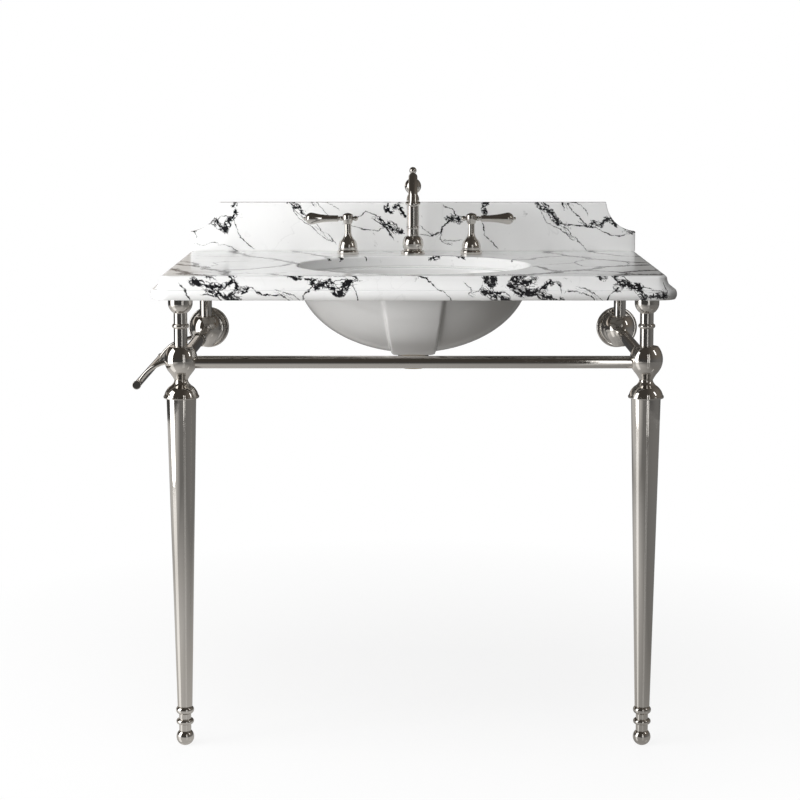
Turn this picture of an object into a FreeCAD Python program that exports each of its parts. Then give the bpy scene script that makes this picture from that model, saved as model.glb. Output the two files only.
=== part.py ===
"""Console washstand: a marble top and backsplash on a turned metal frame, with basin, tap and towel bar.

The wall is the plane Y = 0, the front faces -Y and Z points up. The origin is the middle of the marble
top's back face. Lengths are in millimetres, angles in degrees.
"""
import FreeCAD
import Part
import Sketcher

import math
import os
import re

SIZES = {
    # Marble top
    "top_width": 920,
    "top_depth": 559,
    "top_thickness": 41,
    "deck_level": 22.5,
    "slab_thickness": 20,
    "corner_radius": 36,
    "edge_setback": 21,
    "nose_height": 17.3,
    "nose_tuck": 3,
    "ledge_inset": 7,
    "edge_bevel": 3,
    "cutter_margin": 6,
    # Backsplash
    "splash_inset": 18,
    "splash_height": 97,
    "splash_thickness": 20,
    "scoop_radius": 58,
    # Basin
    "bowl_setback": 319,
    "mouth_width": 430,
    "mouth_depth": 376,
    "bowl_width": 426,
    "bowl_depth": 366,
    "bowl_half_height": 145,
    "bowl_rise": 3.5,
    "china": 9,
    "rim_overhang": 18,
    "rim_thickness": 12,
    "sealant": 1.5,
    "sealant_width": 10,
    "overflow_top": 112.4,
    "overflow_foot": 77,
    "overflow_bulge": 9,
    "overflow_inset": 62,
    "overflow_lift": 2,
    # Basin clips
    "clip_spacing": 130,
    "clip_width": 22,
    "clip_sheet": 3,
    "clip_lip": 12,
    "clip_foot": 24,
    "clip_gap": 2,
    "clip_screw_radius": 3,
    "clip_screw_length": 15,
    "clip_head_radius": 6,
    "clip_head_height": 4,
    # Waste
    "waste_seat": 2,
    "waste_flange_radius": 32,
    "waste_flange": 3,
    "waste_tube_radius": 21,
    "waste_bore_radius": 17,
    "waste_boss_radius": 31,
    "waste_boss": 1,
    "waste_gasket": 12,
    "waste_gasket_taper": 5,
    "waste_nut": 16,
    "waste_nut_radius": 28,
    "waste_tail": 1,
    "outlet_length": 18,
    "web": 12,
    "web_hole_radius": 4,
    "web_hole_circle": 10.5,
    "stopper_radius": 23.5,
    "stopper_recess": 2,
    "stopper_crown": 4,
    "stopper_stem_radius": 4,
    "stopper_stem": 20,
    # Tap, common to spout and valves
    "tap_setback": 90,
    "tap_hole_radius": 14,
    "shank_radius": 11,
    "shank_tail": 36,
    "inlet_radius": 10,
    "inlet_length": 20,
    "shank_flange_radius": 17,
    "shank_flange": 4,
    "tap_washer_radius": 19,
    "tap_washer": 3,
    "tap_nut_radius": 17.5,
    "tap_nut": 9,
    # Spout
    "bell_rim": 9,
    "spout_rim_radius": 23.5,
    "spout_bell_radius": 17.5,
    "spout_bell": 36,
    "column_radius": 12,
    "column_band_level": 50,
    "column_band": 5,
    "column_ring_level": 96,
    "column_ring": 7,
    "column_neck_radius": 9,
    "column_neck_level": 117,
    "ball_radius": 16,
    "ball_level": 133,
    "water_bore_radius": 6,
    "arm_radius": 8.5,
    "arm_wall": 2,
    "arm_tilt": 35,
    "arm_socket": 8,
    "arm_straight": 17,
    "arm_bend_radius": 55,
    "arm_sweep": 115,
    "aerator_radius": 9.3,
    "aerator": 7,
    "finial_neck_radius": 4,
    "finial_neck": 9,
    "finial_ball_radius": 7,
    "finial_tenon_radius": 2.5,
    "finial_tenon": 2.8,
    "tip_flat": 0.6,
    # Handles
    "hot_offset": 127,
    "cold_offset": 114,
    "handle_rim_radius": 21,
    "handle_bell_radius": 18.4,
    "handle_shoulder_radius": 14.8,
    "handle_shoulder": 27,
    "handle_neck_radius": 6.5,
    "handle_neck_level": 43,
    "handle_neck_top": 59.5,
    "bell_wall": 2,
    "valve_radius": 11,
    "valve_top": 22,
    "stem_radius": 4,
    "stem_depth": 30,
    "stem_collar_radius": 8,
    "stem_collar": 3,
    "hub_radius": 10.3,
    "hub_foot_radius": 8,
    "hub_height": 21,
    "hub_stem_grip": 7,
    "lever_level": 10,
    "lever_tenon_radius": 2.8,
    "lever_tenon_start": 4,
    "lever_collar_radius": 4.6,
    "lever_waist_radius": 3.6,
    "lever_root": 19,
    "lever_root_radius": 6.2,
    "lever_belly": 70,
    "lever_belly_radius": 11.6,
    "lever_end": 83,
    "lever_tip_radius": 3.2,
    "lever_tip": 4,
    "counter_ball_radius": 5,
    "counter_reach": 20,
    # Legs and frame
    "leg_inset": 51,
    "leg_setback": 44,
    "rear_offset": 58,
    "post_length": 85,
    "post_radius": 11.9,
    "post_ring_level": 32,
    "post_ring": 8,
    "cup_height": 26,
    "cup_lip": 7,
    "cup_radius": 21.5,
    "tenon_radius": 8,
    "tenon_length": 18,
    "urn_height": 59,
    "urn_rail_drop": 28.2,
    "urn_foot_radius": 12,
    "urn_waist_level": 14,
    "urn_waist_radius": 21.5,
    "urn_top_radius": 20.5,
    "hub_sleeve_radius": 14.5,
    "hub_sleeve_reach": 35,
    "hub_stop": 15,
    "rail_radius": 11.1,
    "rail_wall": 1.5,
    "collar_height": 32.3,
    "collar_rim_radius": 31,
    "collar_rim": 4,
    "collar_shoulder_radius": 30,
    "collar_waist_radius": 20.5,
    "collar_waist_level": 20,
    "collar_neck": 2.3,
    "collar_spigot": 14,
    "leg_length": 557.2,
    "leg_top_radius": 26,
    "leg_foot_radius": 13.3,
    "leg_wall": 2,
    "ankle_neck_radius": 10.8,
    "ankle_neck": 12,
    "ankle_low_ring": 10,
    "ankle_waist": 9,
    "ankle_high_ring": 14,
    "ankle_spigot": 22,
    "foot_height": 26,
    "foot_flat_radius": 6,
    "foot_stud_radius": 5,
    "foot_stud": 26,
    "foot_bore_spare": 4,
    # Wall flange
    "flange_radius": 40.5,
    "flange_rim": 6,
    "flange_step_radius": 32,
    "flange_step": 4,
    "flange_tenon_radius": 10,
    "anchor_radius": 4,
    "anchor_depth": 24,
    # Towel bar
    "towel_rise": 8,
    "towel_droop": 16,
    "towel_arm_radius": 4,
    "towel_arm_straight": 32,
    "towel_arm_bend_radius": 70,
    "towel_arm_sweep": 40,
    "towel_arm_tenon": 9.4,
    "towel_urn_socket": 20,
    "towel_collar_radius": 13.6,
    "towel_collar": 14,
    "towel_rail_socket": 9,
    "towel_bar_radius": 6.35,
    "towel_bar_length": 362,
    "towel_front_overhang": 26,
    "towel_arm_spacing": 312,
    "towel_cap_radius": 7.6,
    "towel_cap": 4,
    "towel_cap_tenon_radius": 4,
    "towel_cap_tenon": 6,
    # Clearances
    "seat_clearance": 0.1,
    "running_clearance": 0.05,
    "moving_gap": 0.3,
    "spigot_clearance": 0.6,
}

# How far a curve turns between its ends: positive bulges out of the solid, negative hollows it.
QUARTER_ROUND = 90
HALF_ROUND = 179
BEAD = 150
BALL = 116
DOME = 78
CUP = 62
SOFT = 40
FAINT = 16
COVE = -70
HOLLOW = -45

X_AXIS = FreeCAD.Vector(1, 0, 0)
Y_AXIS = FreeCAD.Vector(0, 1, 0)
Z_AXIS = FreeCAD.Vector(0, 0, 1)
UPRIGHT = FreeCAD.Rotation()
TO_BACK = FreeCAD.Rotation(X_AXIS, -90)
TO_RIGHT = FreeCAD.Rotation(Y_AXIS, 90)
TO_LEFT = FreeCAD.Rotation(Y_AXIS, -90)
TO_FRONT = FreeCAD.Rotation(X_AXIS, 90)

# Levels of the frame, from the marble top downwards
DECK = "deck_level"
UNDERSIDE = f"({DECK} - top_thickness)"
SLAB_FOOT = f"({DECK} - slab_thickness)"
POST_FOOT = f"{UNDERSIDE} - post_length"
RAIL_LEVEL = f"{POST_FOOT} - urn_rail_drop"
URN_FOOT = f"{POST_FOOT} - urn_height"
COLLAR_FOOT = f"{URN_FOOT} - collar_height"
LEG_FOOT = f"{COLLAR_FOOT} - leg_length"
ANKLE_HEIGHT = "ankle_neck + ankle_low_ring + ankle_waist + ankle_high_ring"
ANKLE_FOOT = f"{LEG_FOOT} - ({ANKLE_HEIGHT})"
FLOOR = f"{ANKLE_FOOT} - foot_height"

# Places in plan
FRONT_ROW = "-top_depth + leg_setback"
REAR_ROW = "-rear_offset"
BOWL_ROW = "-bowl_setback"
TAP_ROW = "-tap_setback"
RIGHT_COLUMN = "(top_width / 2 - leg_inset)"
LEFT_COLUMN = f"-{RIGHT_COLUMN}"

# Levels of the basin and its waste
RIM_TOP = f"{SLAB_FOOT} - sealant"
BOWL_LEVEL = f"{SLAB_FOOT} + bowl_rise"
BOWL_BOTTOM = f"{BOWL_LEVEL} - bowl_half_height"
WASTE_SEAT = f"{BOWL_BOTTOM} + china - waste_seat"
BOSS_FOOT = f"{BOWL_BOTTOM} - waste_boss"
WASTE_FOOT = f"{BOSS_FOOT} - waste_gasket - waste_nut - waste_tail"

doc = FreeCAD.newDocument("washstand")
sheet = doc.addObject("Spreadsheet::Sheet", "sizes")
for row, (alias, number) in enumerate(SIZES.items(), start=1):
    sheet.set(f"A{row}", alias)
    sheet.set(f"B{row}", str(number))
    sheet.setAlias(f"B{row}", alias)
doc.recompute()

nodes = []


def tied(formula):
    """Return the formula with every size name pointing at the sheet."""
    words = re.split(r"([a-z_]+)", str(formula))
    return "".join(f"sizes.{word}" if word in SIZES else word for word in words)


def value(formula):
    """Return the number that a formula gives for the sizes in the sheet."""
    return float(sheet.evalExpression(tied(formula)))


def bind(thing, **formulas):
    """Bind properties of a document object to formulas of the sheet's sizes."""
    for name, formula in formulas.items():
        thing.setExpression(name, tied(formula))


def place(thing, at, rotation=UPRIGHT):
    """Turn an object and bind its place to three formulas."""
    thing.Placement = FreeCAD.Placement(FreeCAD.Vector(), rotation)
    for letter, formula in zip("xyz", at):
        thing.setExpression(f"Placement.Base.{letter}", tied(formula))


def place_tilted(thing, at, axis, angle):
    """Place an object turned about one axis by an angle that is a formula."""
    place(thing, at, FreeCAD.Rotation(axis, value(angle)))
    thing.setExpression("Placement.Rotation.Angle", tied(angle))


def keep(thing, label):
    """Make an object a sub-part of the washstand under this label."""
    thing.Label = label
    nodes.append(thing)
    return thing


def new_sketch(body, plane, name):
    """Start a sketch on one of the body's own origin planes."""
    sketch = body.newObject("Sketcher::SketchObject", name)
    support = [plane_ for plane_ in body.Origin.OriginFeatures if plane_.Role == plane][0]
    sketch.AttachmentSupport = [(support, "")]
    sketch.MapMode = "FlatFace"
    return sketch


def pin_point(sketch, edge, end, point):
    """Hold one end of a sketch edge at two formulas."""
    for kind, axis, formula in (("DistanceX", -2, point[0]), ("DistanceY", -1, point[1])):
        if formula == "0":
            sketch.addConstraint(Sketcher.Constraint("PointOnObject", edge, end, axis))
        else:
            index = sketch.addConstraint(Sketcher.Constraint(kind, -1, 1, edge, end, value(formula)))
            sketch.setExpression(f"Constraints[{index}]", tied(formula))


def add_arc(sketch, first, second, turn, points):
    """Add an arc between two points that turns by an angle, and bind its radius to the chord."""
    chord = second - first
    half_turn = math.radians(abs(turn)) / 2
    offset = math.copysign(0.5 / math.tan(half_turn), turn)
    centre = (first + second) * 0.5 + FreeCAD.Vector(-chord.y, chord.x, 0) * offset
    start, stop = (first, second) if turn > 0 else (second, first)
    circle = Part.Circle(centre, Z_AXIS, (first - centre).Length)
    edge = sketch.addGeometry(Part.ArcOfCircle(circle, circle.parameter(start), circle.parameter(stop)))
    (x_one, y_one), (x_two, y_two) = points
    share = 2 * math.sin(half_turn)
    radius = f"sqrt(({x_two} - ({x_one}))^2 + ({y_two} - ({y_one}))^2) / {share}"
    index = sketch.addConstraint(Sketcher.Constraint("Radius", edge, circle.Radius))
    sketch.setExpression(f"Constraints[{index}]", tied(radius))
    return (edge, 1, 2) if turn > 0 else (edge, 2, 1)


def outline(body, plane, name, points, closed=True):
    """Draw straight and round edges through points held at formulas.

    Each point is (x, y) or (x, y, turn), where turn bends the edge that leaves the point.
    A closed outline runs anticlockwise.
    """
    sketch = new_sketch(body, plane, name)
    spots = [FreeCAD.Vector(value(point[0]), value(point[1]), 0) for point in points]
    count = len(points) if closed else len(points) - 1
    edges = []
    for index in range(count):
        after = (index + 1) % len(points)
        turn = points[index][2] if len(points[index]) > 2 else 0
        if turn:
            ends = (points[index][:2], points[after][:2])
            edges.append(add_arc(sketch, spots[index], spots[after], turn, ends))
        else:
            edges.append((sketch.addGeometry(Part.LineSegment(spots[index], spots[after])), 1, 2))
    for index, (edge, start, stop) in enumerate(edges):
        pin_point(sketch, edge, start, points[index])
        if closed or index + 1 < count:
            after, after_start, _ = edges[(index + 1) % count]
            sketch.addConstraint(Sketcher.Constraint("Coincident", edge, stop, after, after_start))
        else:
            pin_point(sketch, edge, stop, points[index + 1])
    return sketch


def rings(body, plane, name, radii, along="0"):
    """Draw concentric circles on a plane, moved off it along the plane's normal by a formula."""
    sketch = new_sketch(body, plane, name)
    sketch.setExpression("AttachmentOffset.Base.z", tied(along))
    for radius in radii:
        edge = sketch.addGeometry(Part.Circle(FreeCAD.Vector(), Z_AXIS, value(radius)))
        sketch.addConstraint(Sketcher.Constraint("Coincident", edge, 3, -1, 1))
        index = sketch.addConstraint(Sketcher.Constraint("Radius", edge, value(radius)))
        sketch.setExpression(f"Constraints[{index}]", tied(radius))
    return sketch


def turned(name, points, at, rotation=UPRIGHT):
    """Turn a closed half profile of (radius, height) points about the body's own Z axis."""
    body = doc.addObject("PartDesign::Body", name)
    sketch = outline(body, "XZ_Plane", f"{name}_profile", points)
    turning = body.newObject("PartDesign::Revolution", f"{name}_turning")
    turning.Profile = sketch
    turning.ReferenceAxis = (sketch, ["V_Axis"])
    turning.Angle = 360
    place(body, at, rotation)
    return body


def padded(name, plane, points, length, at, both_ways=False):
    """Pad a closed outline by a formula."""
    body = doc.addObject("PartDesign::Body", name)
    sketch = outline(body, plane, f"{name}_outline", points)
    pad = body.newObject("PartDesign::Pad", f"{name}_pad")
    pad.Profile = sketch
    pad.Midplane = both_ways
    bind(pad, Length=length)
    place(body, at)
    return body


def piped(name, path_plane, path, ring_plane, radii, start):
    """Sweep circles along an open path that leaves the ring plane at right angles."""
    body = doc.addObject("PartDesign::Body", name)
    spine = outline(body, path_plane, f"{name}_path", path, closed=False)
    profile = rings(body, ring_plane, f"{name}_section", radii, start)
    pipe = body.newObject("PartDesign::AdditivePipe", f"{name}_pipe")
    pipe.Profile = profile
    pipe.Spine = (spine, [])
    return body


def cylinder(name, radius, length, at, rotation=UPRIGHT):
    """Make a plain cylinder along its own Z axis."""
    rod = doc.addObject("Part::Cylinder", name)
    bind(rod, Radius=radius, Height=length)
    place(rod, at, rotation)
    return rod


def hexagon(name, radius, length, at):
    """Make a six-sided prism along Z."""
    prism = doc.addObject("Part::Prism", name)
    prism.Polygon = 6
    bind(prism, Circumradius=radius, Height=length)
    place(prism, at)
    return prism


def oval_plate(name, half_width, half_depth, length, at):
    """Make an upright plate with an oval outline."""
    oval = doc.addObject("Part::Ellipse", f"{name}_oval")
    bind(oval, MajorRadius=half_width, MinorRadius=half_depth)
    place(oval, at)
    plate = doc.addObject("Part::Extrusion", name)
    plate.Base = oval
    plate.DirMode = "Custom"
    plate.Dir = Z_AXIS
    plate.Solid = True
    bind(plate, LengthFwd=length)
    return plate


def ellipsoid(name, half_width, half_depth, half_height, at, top_angle="90"):
    """Make an ellipsoid, cut off flat at the parallel with this latitude."""
    bulb = doc.addObject("Part::Ellipsoid", name)
    bind(bulb, Radius1=half_height, Radius2=half_width, Radius3=half_depth, Angle2=top_angle)
    place(bulb, at)
    return bulb


def joined(name, pieces):
    """Fuse overlapping pieces into one."""
    fusion = doc.addObject("Part::MultiFuse", name)
    fusion.Shapes = pieces
    fusion.Refine = True
    return fusion


def drilled(name, base, tools):
    """Cut one or more tools out of a base."""
    tool = tools[0] if len(tools) == 1 else joined(f"{name}_tools", tools)
    cut = doc.addObject("Part::Cut", name)
    cut.Base = base
    cut.Tool = tool
    return cut


def common(name, base, tool):
    """Keep what two pieces share."""
    shared = doc.addObject("Part::Common", name)
    shared.Base = base
    shared.Tool = tool
    return shared


def group(name, pieces):
    """Gather separate alike pieces in one sub-part."""
    gathered = doc.addObject("Part::Compound", name)
    gathered.Links = pieces
    return gathered


def ball_turn(radius, lower, upper):
    """Return how far a ball's outline turns between two circles on it, below and above its middle."""
    return value(f"180 deg - asin({lower} / {radius}) - asin({upper} / {radius})")


def ball_height(radius, lower, upper):
    """Return the formula for the height between two circles on a ball, below and above its middle."""
    return f"sqrt({radius}^2 - {lower}^2) + sqrt({radius}^2 - {upper}^2)"


def clip_places():
    """Return the four clips' places as (side sign, row formula)."""
    return [(side, f"{BOWL_ROW} + {way} * clip_spacing / 2") for side in (-1, 1) for way in (-1, 1)]


# Distance from the centreline to the rim's edge in the row of a clip
RIM_EDGE = (
    "(mouth_width / 2 + rim_overhang)"
    " * sqrt(1 - ((clip_spacing / 2 - clip_width / 2) / (mouth_depth / 2 + rim_overhang))^2)"
)
CLIP_WEB = f"{RIM_EDGE} + clip_gap"


def make_marble():
    """Make the marble top, a slab built up along its edges, with its cut-out and holes, and the backsplash."""
    side = "top_width / 2"
    run = "corner_radius - top_depth"
    body = doc.addObject("PartDesign::Body", "slab")
    plan = [
        (f"-{side}", "0"),
        (f"-{side}", run, QUARTER_ROUND),
        (f"corner_radius - {side}", "-top_depth"),
        (f"{side} - corner_radius", "-top_depth", QUARTER_ROUND),
        (side, run),
        (side, "0"),
    ]
    pad = body.newObject("PartDesign::Pad", "slab_pad")
    pad.Profile = outline(body, "XY_Plane", "slab_plan", plan)
    bind(pad, Length="top_thickness")
    moulding = [
        (f"nose_tuck - {side}", "0", -value("4 * atan(2 * nose_tuck / nose_height)")),
        (f"nose_tuck - {side}", "nose_height"),
        (f"ledge_inset - {side}", "nose_height", -HOLLOW),
        (f"edge_setback - edge_bevel - {side}", "top_thickness - edge_bevel"),
        (f"edge_setback - {side}", "top_thickness"),
        (f"edge_setback - {side}", "top_thickness + cutter_margin"),
        (f"-cutter_margin - {side}", "top_thickness + cutter_margin"),
        (f"-cutter_margin - {side}", "-cutter_margin"),
        (f"nose_tuck - {side}", "-cutter_margin"),
    ]
    cutter = body.newObject("PartDesign::SubtractivePipe", "slab_moulding")
    cutter.Profile = outline(body, "XZ_Plane", "slab_ogee", moulding)
    cutter.Spine = (outline(body, "XY_Plane", "slab_edge", plan, closed=False), [])
    place(body, ("0", "0", UNDERSIDE))

    depth = "top_thickness + 2 * cutter_margin"
    below = f"{UNDERSIDE} - cutter_margin"
    mouth = oval_plate("mouth", "mouth_width / 2", "mouth_depth / 2", depth, ("0", BOWL_ROW, below))
    pocket_side = "(top_width / 2 - leg_inset - cup_radius - cutter_margin)"
    pocket_front = f"{BOWL_ROW} - mouth_depth / 2 - rim_overhang - clip_gap"
    pocket = padded(
        "pocket",
        "XY_Plane",
        [
            (f"-{pocket_side}", pocket_front),
            (pocket_side, pocket_front),
            (pocket_side, "-splash_thickness"),
            (f"-{pocket_side}", "-splash_thickness"),
        ],
        "top_thickness - slab_thickness + cutter_margin",
        ("0", "0", below),
    )
    holes = [mouth, pocket]
    for name, across in (("hot", "-hot_offset"), ("spout", "0"), ("cold", "cold_offset")):
        holes.append(cylinder(f"{name}_hole", "tap_hole_radius", depth, (across, TAP_ROW, below)))
    for number, (sign, row_place) in enumerate(clip_places()):
        across = f"{sign} * ({CLIP_WEB} + clip_foot / 2)"
        hole = cylinder(
            f"insert_hole_{number}",
            "clip_screw_radius + seat_clearance",
            "clip_screw_length + cutter_margin",
            (across, row_place, f"{SLAB_FOOT} - cutter_margin"),
        )
        holes.append(hole)
    keep(drilled("marble_cut", body, holes), "marble_top")

    end = "(top_width / 2 - splash_inset)"
    splash = [
        (f"-{end}", "0"),
        (end, "0"),
        (end, "splash_height - scoop_radius", -DOME),
        (f"{end} - scoop_radius", "splash_height"),
        (f"scoop_radius - {end}", "splash_height", -DOME),
        (f"-{end}", "splash_height - scoop_radius"),
    ]
    keep(padded("splash", "XZ_Plane", splash, "splash_thickness", ("0", "0", DECK)), "backsplash")


def make_basin():
    """Make the undermount basin with its sealant, clips and screws."""
    centre = ("0", BOWL_ROW, BOWL_LEVEL)
    half_width, half_depth = "bowl_width / 2", "bowl_depth / 2"
    rim_angle = "-asin((bowl_rise + sealant) / bowl_half_height)"
    outside = ellipsoid("bowl_outside", half_width, half_depth, "bowl_half_height", centre, rim_angle)
    inside = ellipsoid(
        "bowl_inside", f"{half_width} - china", f"{half_depth} - china", "bowl_half_height - china", centre
    )
    rim_across, rim_along = "mouth_width / 2 + rim_overhang", "mouth_depth / 2 + rim_overhang"
    rim_foot = ("0", BOWL_ROW, f"{RIM_TOP} - rim_thickness")
    rim = oval_plate("rim", rim_across, rim_along, "rim_thickness", rim_foot)
    channel_bulb = ellipsoid(
        "channel_bulb",
        half_width,
        f"{half_depth} + overflow_bulge",
        "bowl_half_height + overflow_bulge",
        centre,
        "-asin((bowl_rise + sealant) / (bowl_half_height + overflow_bulge))",
    )
    channel_foot = f"{BOWL_BOTTOM} + overflow_lift"
    channel = padded(
        "channel_front",
        "XZ_Plane",
        [
            ("-overflow_foot / 2", channel_foot),
            ("overflow_foot / 2", channel_foot),
            ("overflow_top / 2", RIM_TOP),
            ("-overflow_top / 2", RIM_TOP),
        ],
        "bowl_depth",
        ("0", f"{BOWL_ROW} - overflow_inset", "0"),
    )
    overflow = common("overflow", channel_bulb, channel)
    boss = cylinder("boss", "waste_boss_radius", "china", ("0", BOWL_ROW, BOSS_FOOT))
    seat_radius = "waste_flange_radius + moving_gap"
    spotface = cylinder("spotface", seat_radius, "china", ("0", BOWL_ROW, WASTE_SEAT))
    waste_hole = cylinder(
        "waste_hole",
        "waste_tube_radius + seat_clearance",
        "bowl_half_height",
        ("0", BOWL_ROW, f"{BOSS_FOOT} - cutter_margin"),
    )
    bowl = joined("bowl_solid", [outside, rim, overflow, boss])
    keep(drilled("bowl", bowl, [inside, spotface, waste_hole]), "basin")

    bead_foot = ("0", BOWL_ROW, RIM_TOP)
    bead = oval_plate("bead", rim_across, rim_along, "sealant", bead_foot)
    bead_hole = oval_plate(
        "bead_hole", f"{rim_across} - sealant_width", f"{rim_along} - sealant_width", "sealant", bead_foot
    )
    keep(drilled("bead_ring", bead, [bead_hole]), "basin_sealant")
    make_clips()


def make_clips():
    """Make the four clips that hold the rim up and the screws that hold them to the top."""
    drop = "sealant + rim_thickness"
    bracket = [
        ("-clip_lip", f"-({drop}) - clip_sheet"),
        ("clip_sheet", f"-({drop}) - clip_sheet"),
        ("clip_sheet", "-clip_sheet"),
        ("clip_foot", "-clip_sheet"),
        ("clip_foot", "0"),
        ("0", "0"),
        ("0", f"-({drop})"),
        ("-clip_lip", f"-({drop})"),
    ]
    clips, screws = [], []
    for number, (sign, row_place) in enumerate(clip_places()):
        at = (f"{sign} * ({CLIP_WEB})", row_place, SLAB_FOOT)
        blank = padded(f"clip_{number}", "XZ_Plane", bracket, "clip_width", at, both_ways=True)
        if sign < 0:
            place(blank, at, FreeCAD.Rotation(Z_AXIS, 180))
        screw_x = f"{sign} * ({CLIP_WEB} + clip_foot / 2)"
        head_foot = f"{SLAB_FOOT} - clip_sheet - clip_head_height"
        hole_radius = "clip_screw_radius + seat_clearance"
        hole = cylinder(f"clip_hole_{number}", hole_radius, "clip_foot", (screw_x, row_place, head_foot))
        clips.append(drilled(f"clip_drilled_{number}", blank, [hole]))
        screw = [
            ("0", "0"),
            ("clip_head_radius", "0"),
            ("clip_head_radius", "clip_head_height"),
            ("clip_screw_radius", "clip_head_height"),
            ("clip_screw_radius", "clip_head_height + clip_sheet + clip_screw_length - cutter_margin"),
            ("0", "clip_head_height + clip_sheet + clip_screw_length - cutter_margin"),
        ]
        screws.append(turned(f"clip_screw_{number}", screw, (screw_x, row_place, head_foot)))
    keep(group("clips", clips), "basin_clips")
    keep(group("screws", screws), "basin_clip_screws")


def make_waste():
    """Make the waste: body with guide web, gasket, locknut and stopper."""
    tube = f"({WASTE_SEAT}) - ({WASTE_FOOT})"
    brim = f"{tube} + waste_flange"
    guide = "stopper_stem_radius + running_clearance"
    seat_lip = "stopper_radius + moving_gap"
    body = [
        ("waste_bore_radius", "0"),
        ("waste_tube_radius", "0"),
        ("waste_tube_radius", tube),
        ("waste_flange_radius", tube, SOFT),
        (f"{seat_lip} + waste_flange / 2", brim),
        (seat_lip, brim),
        (seat_lip, f"{brim} - stopper_recess"),
        ("waste_bore_radius", f"{brim} - stopper_recess"),
        ("waste_bore_radius", "outlet_length + web"),
        (guide, "outlet_length + web"),
        (guide, "outlet_length"),
        ("waste_bore_radius", "outlet_length"),
    ]
    blank = turned("waste_blank", body, ("0", BOWL_ROW, WASTE_FOOT))
    holes = []
    for number, (across, along) in enumerate(((1, 0), (0, 1), (-1, 0), (0, -1))):
        at = (
            f"{across} * web_hole_circle",
            f"{BOWL_ROW} + {along} * web_hole_circle",
            f"{WASTE_FOOT} + outlet_length - cutter_margin",
        )
        holes.append(cylinder(f"web_hole_{number}", "web_hole_radius", "web + 2 * cutter_margin", at))
    keep(drilled("waste", blank, holes), "drain_body")

    bore = "waste_tube_radius + seat_clearance"
    gasket = [
        (bore, "0"),
        ("waste_boss_radius - waste_gasket_taper", "0"),
        ("waste_boss_radius", "waste_gasket"),
        (bore, "waste_gasket"),
    ]
    gasket_foot = f"{BOSS_FOOT} - waste_gasket"
    keep(turned("gasket", gasket, ("0", BOWL_ROW, gasket_foot)), "drain_gasket")

    nut_at = ("0", BOWL_ROW, f"{gasket_foot} - waste_nut")
    nut = hexagon("waste_nut_blank", "waste_nut_radius", "waste_nut", nut_at)
    nut_bore = cylinder("waste_nut_bore", bore, "waste_nut", nut_at)
    keep(drilled("waste_nut_cut", nut, [nut_bore]), "drain_locknut")

    stopper = [
        ("0", "0"),
        ("stopper_stem_radius", "0"),
        ("stopper_stem_radius", "stopper_stem"),
        ("stopper_radius", "stopper_stem"),
        ("stopper_radius", "stopper_stem + stopper_crown / 2", FAINT),
        ("tip_flat", "stopper_stem + stopper_crown"),
        ("0", "stopper_stem + stopper_crown"),
    ]
    stopper_foot = f"{WASTE_SEAT} + waste_flange - stopper_recess + moving_gap - stopper_stem"
    keep(turned("stopper", stopper, ("0", BOWL_ROW, stopper_foot)), "drain_stopper")


# Room inside a bell for the flange of the shank that it hides
CLAMP_CAVITY = "shank_flange_radius + moving_gap"
CLAMP_CEILING = "shank_flange + moving_gap"


def make_tap_fixings(name, across):
    """Make the washer and locknut that clamp a tap shank from below the top."""
    bore = "shank_radius + seat_clearance"
    washer = [
        (bore, "0"),
        ("tap_washer_radius", "0"),
        ("tap_washer_radius", "tap_washer"),
        (bore, "tap_washer"),
    ]
    washer_foot = f"{SLAB_FOOT} - tap_washer"
    keep(turned(f"{name}_washer_body", washer, (across, TAP_ROW, washer_foot)), f"{name}_washer")
    nut_at = (across, TAP_ROW, f"{washer_foot} - tap_nut")
    nut = hexagon(f"{name}_nut_blank", "tap_nut_radius", "tap_nut", nut_at)
    nut_bore = cylinder(f"{name}_nut_bore", bore, "tap_nut", nut_at)
    keep(drilled(f"{name}_nut", nut, [nut_bore]), f"{name}_locknut")


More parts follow.
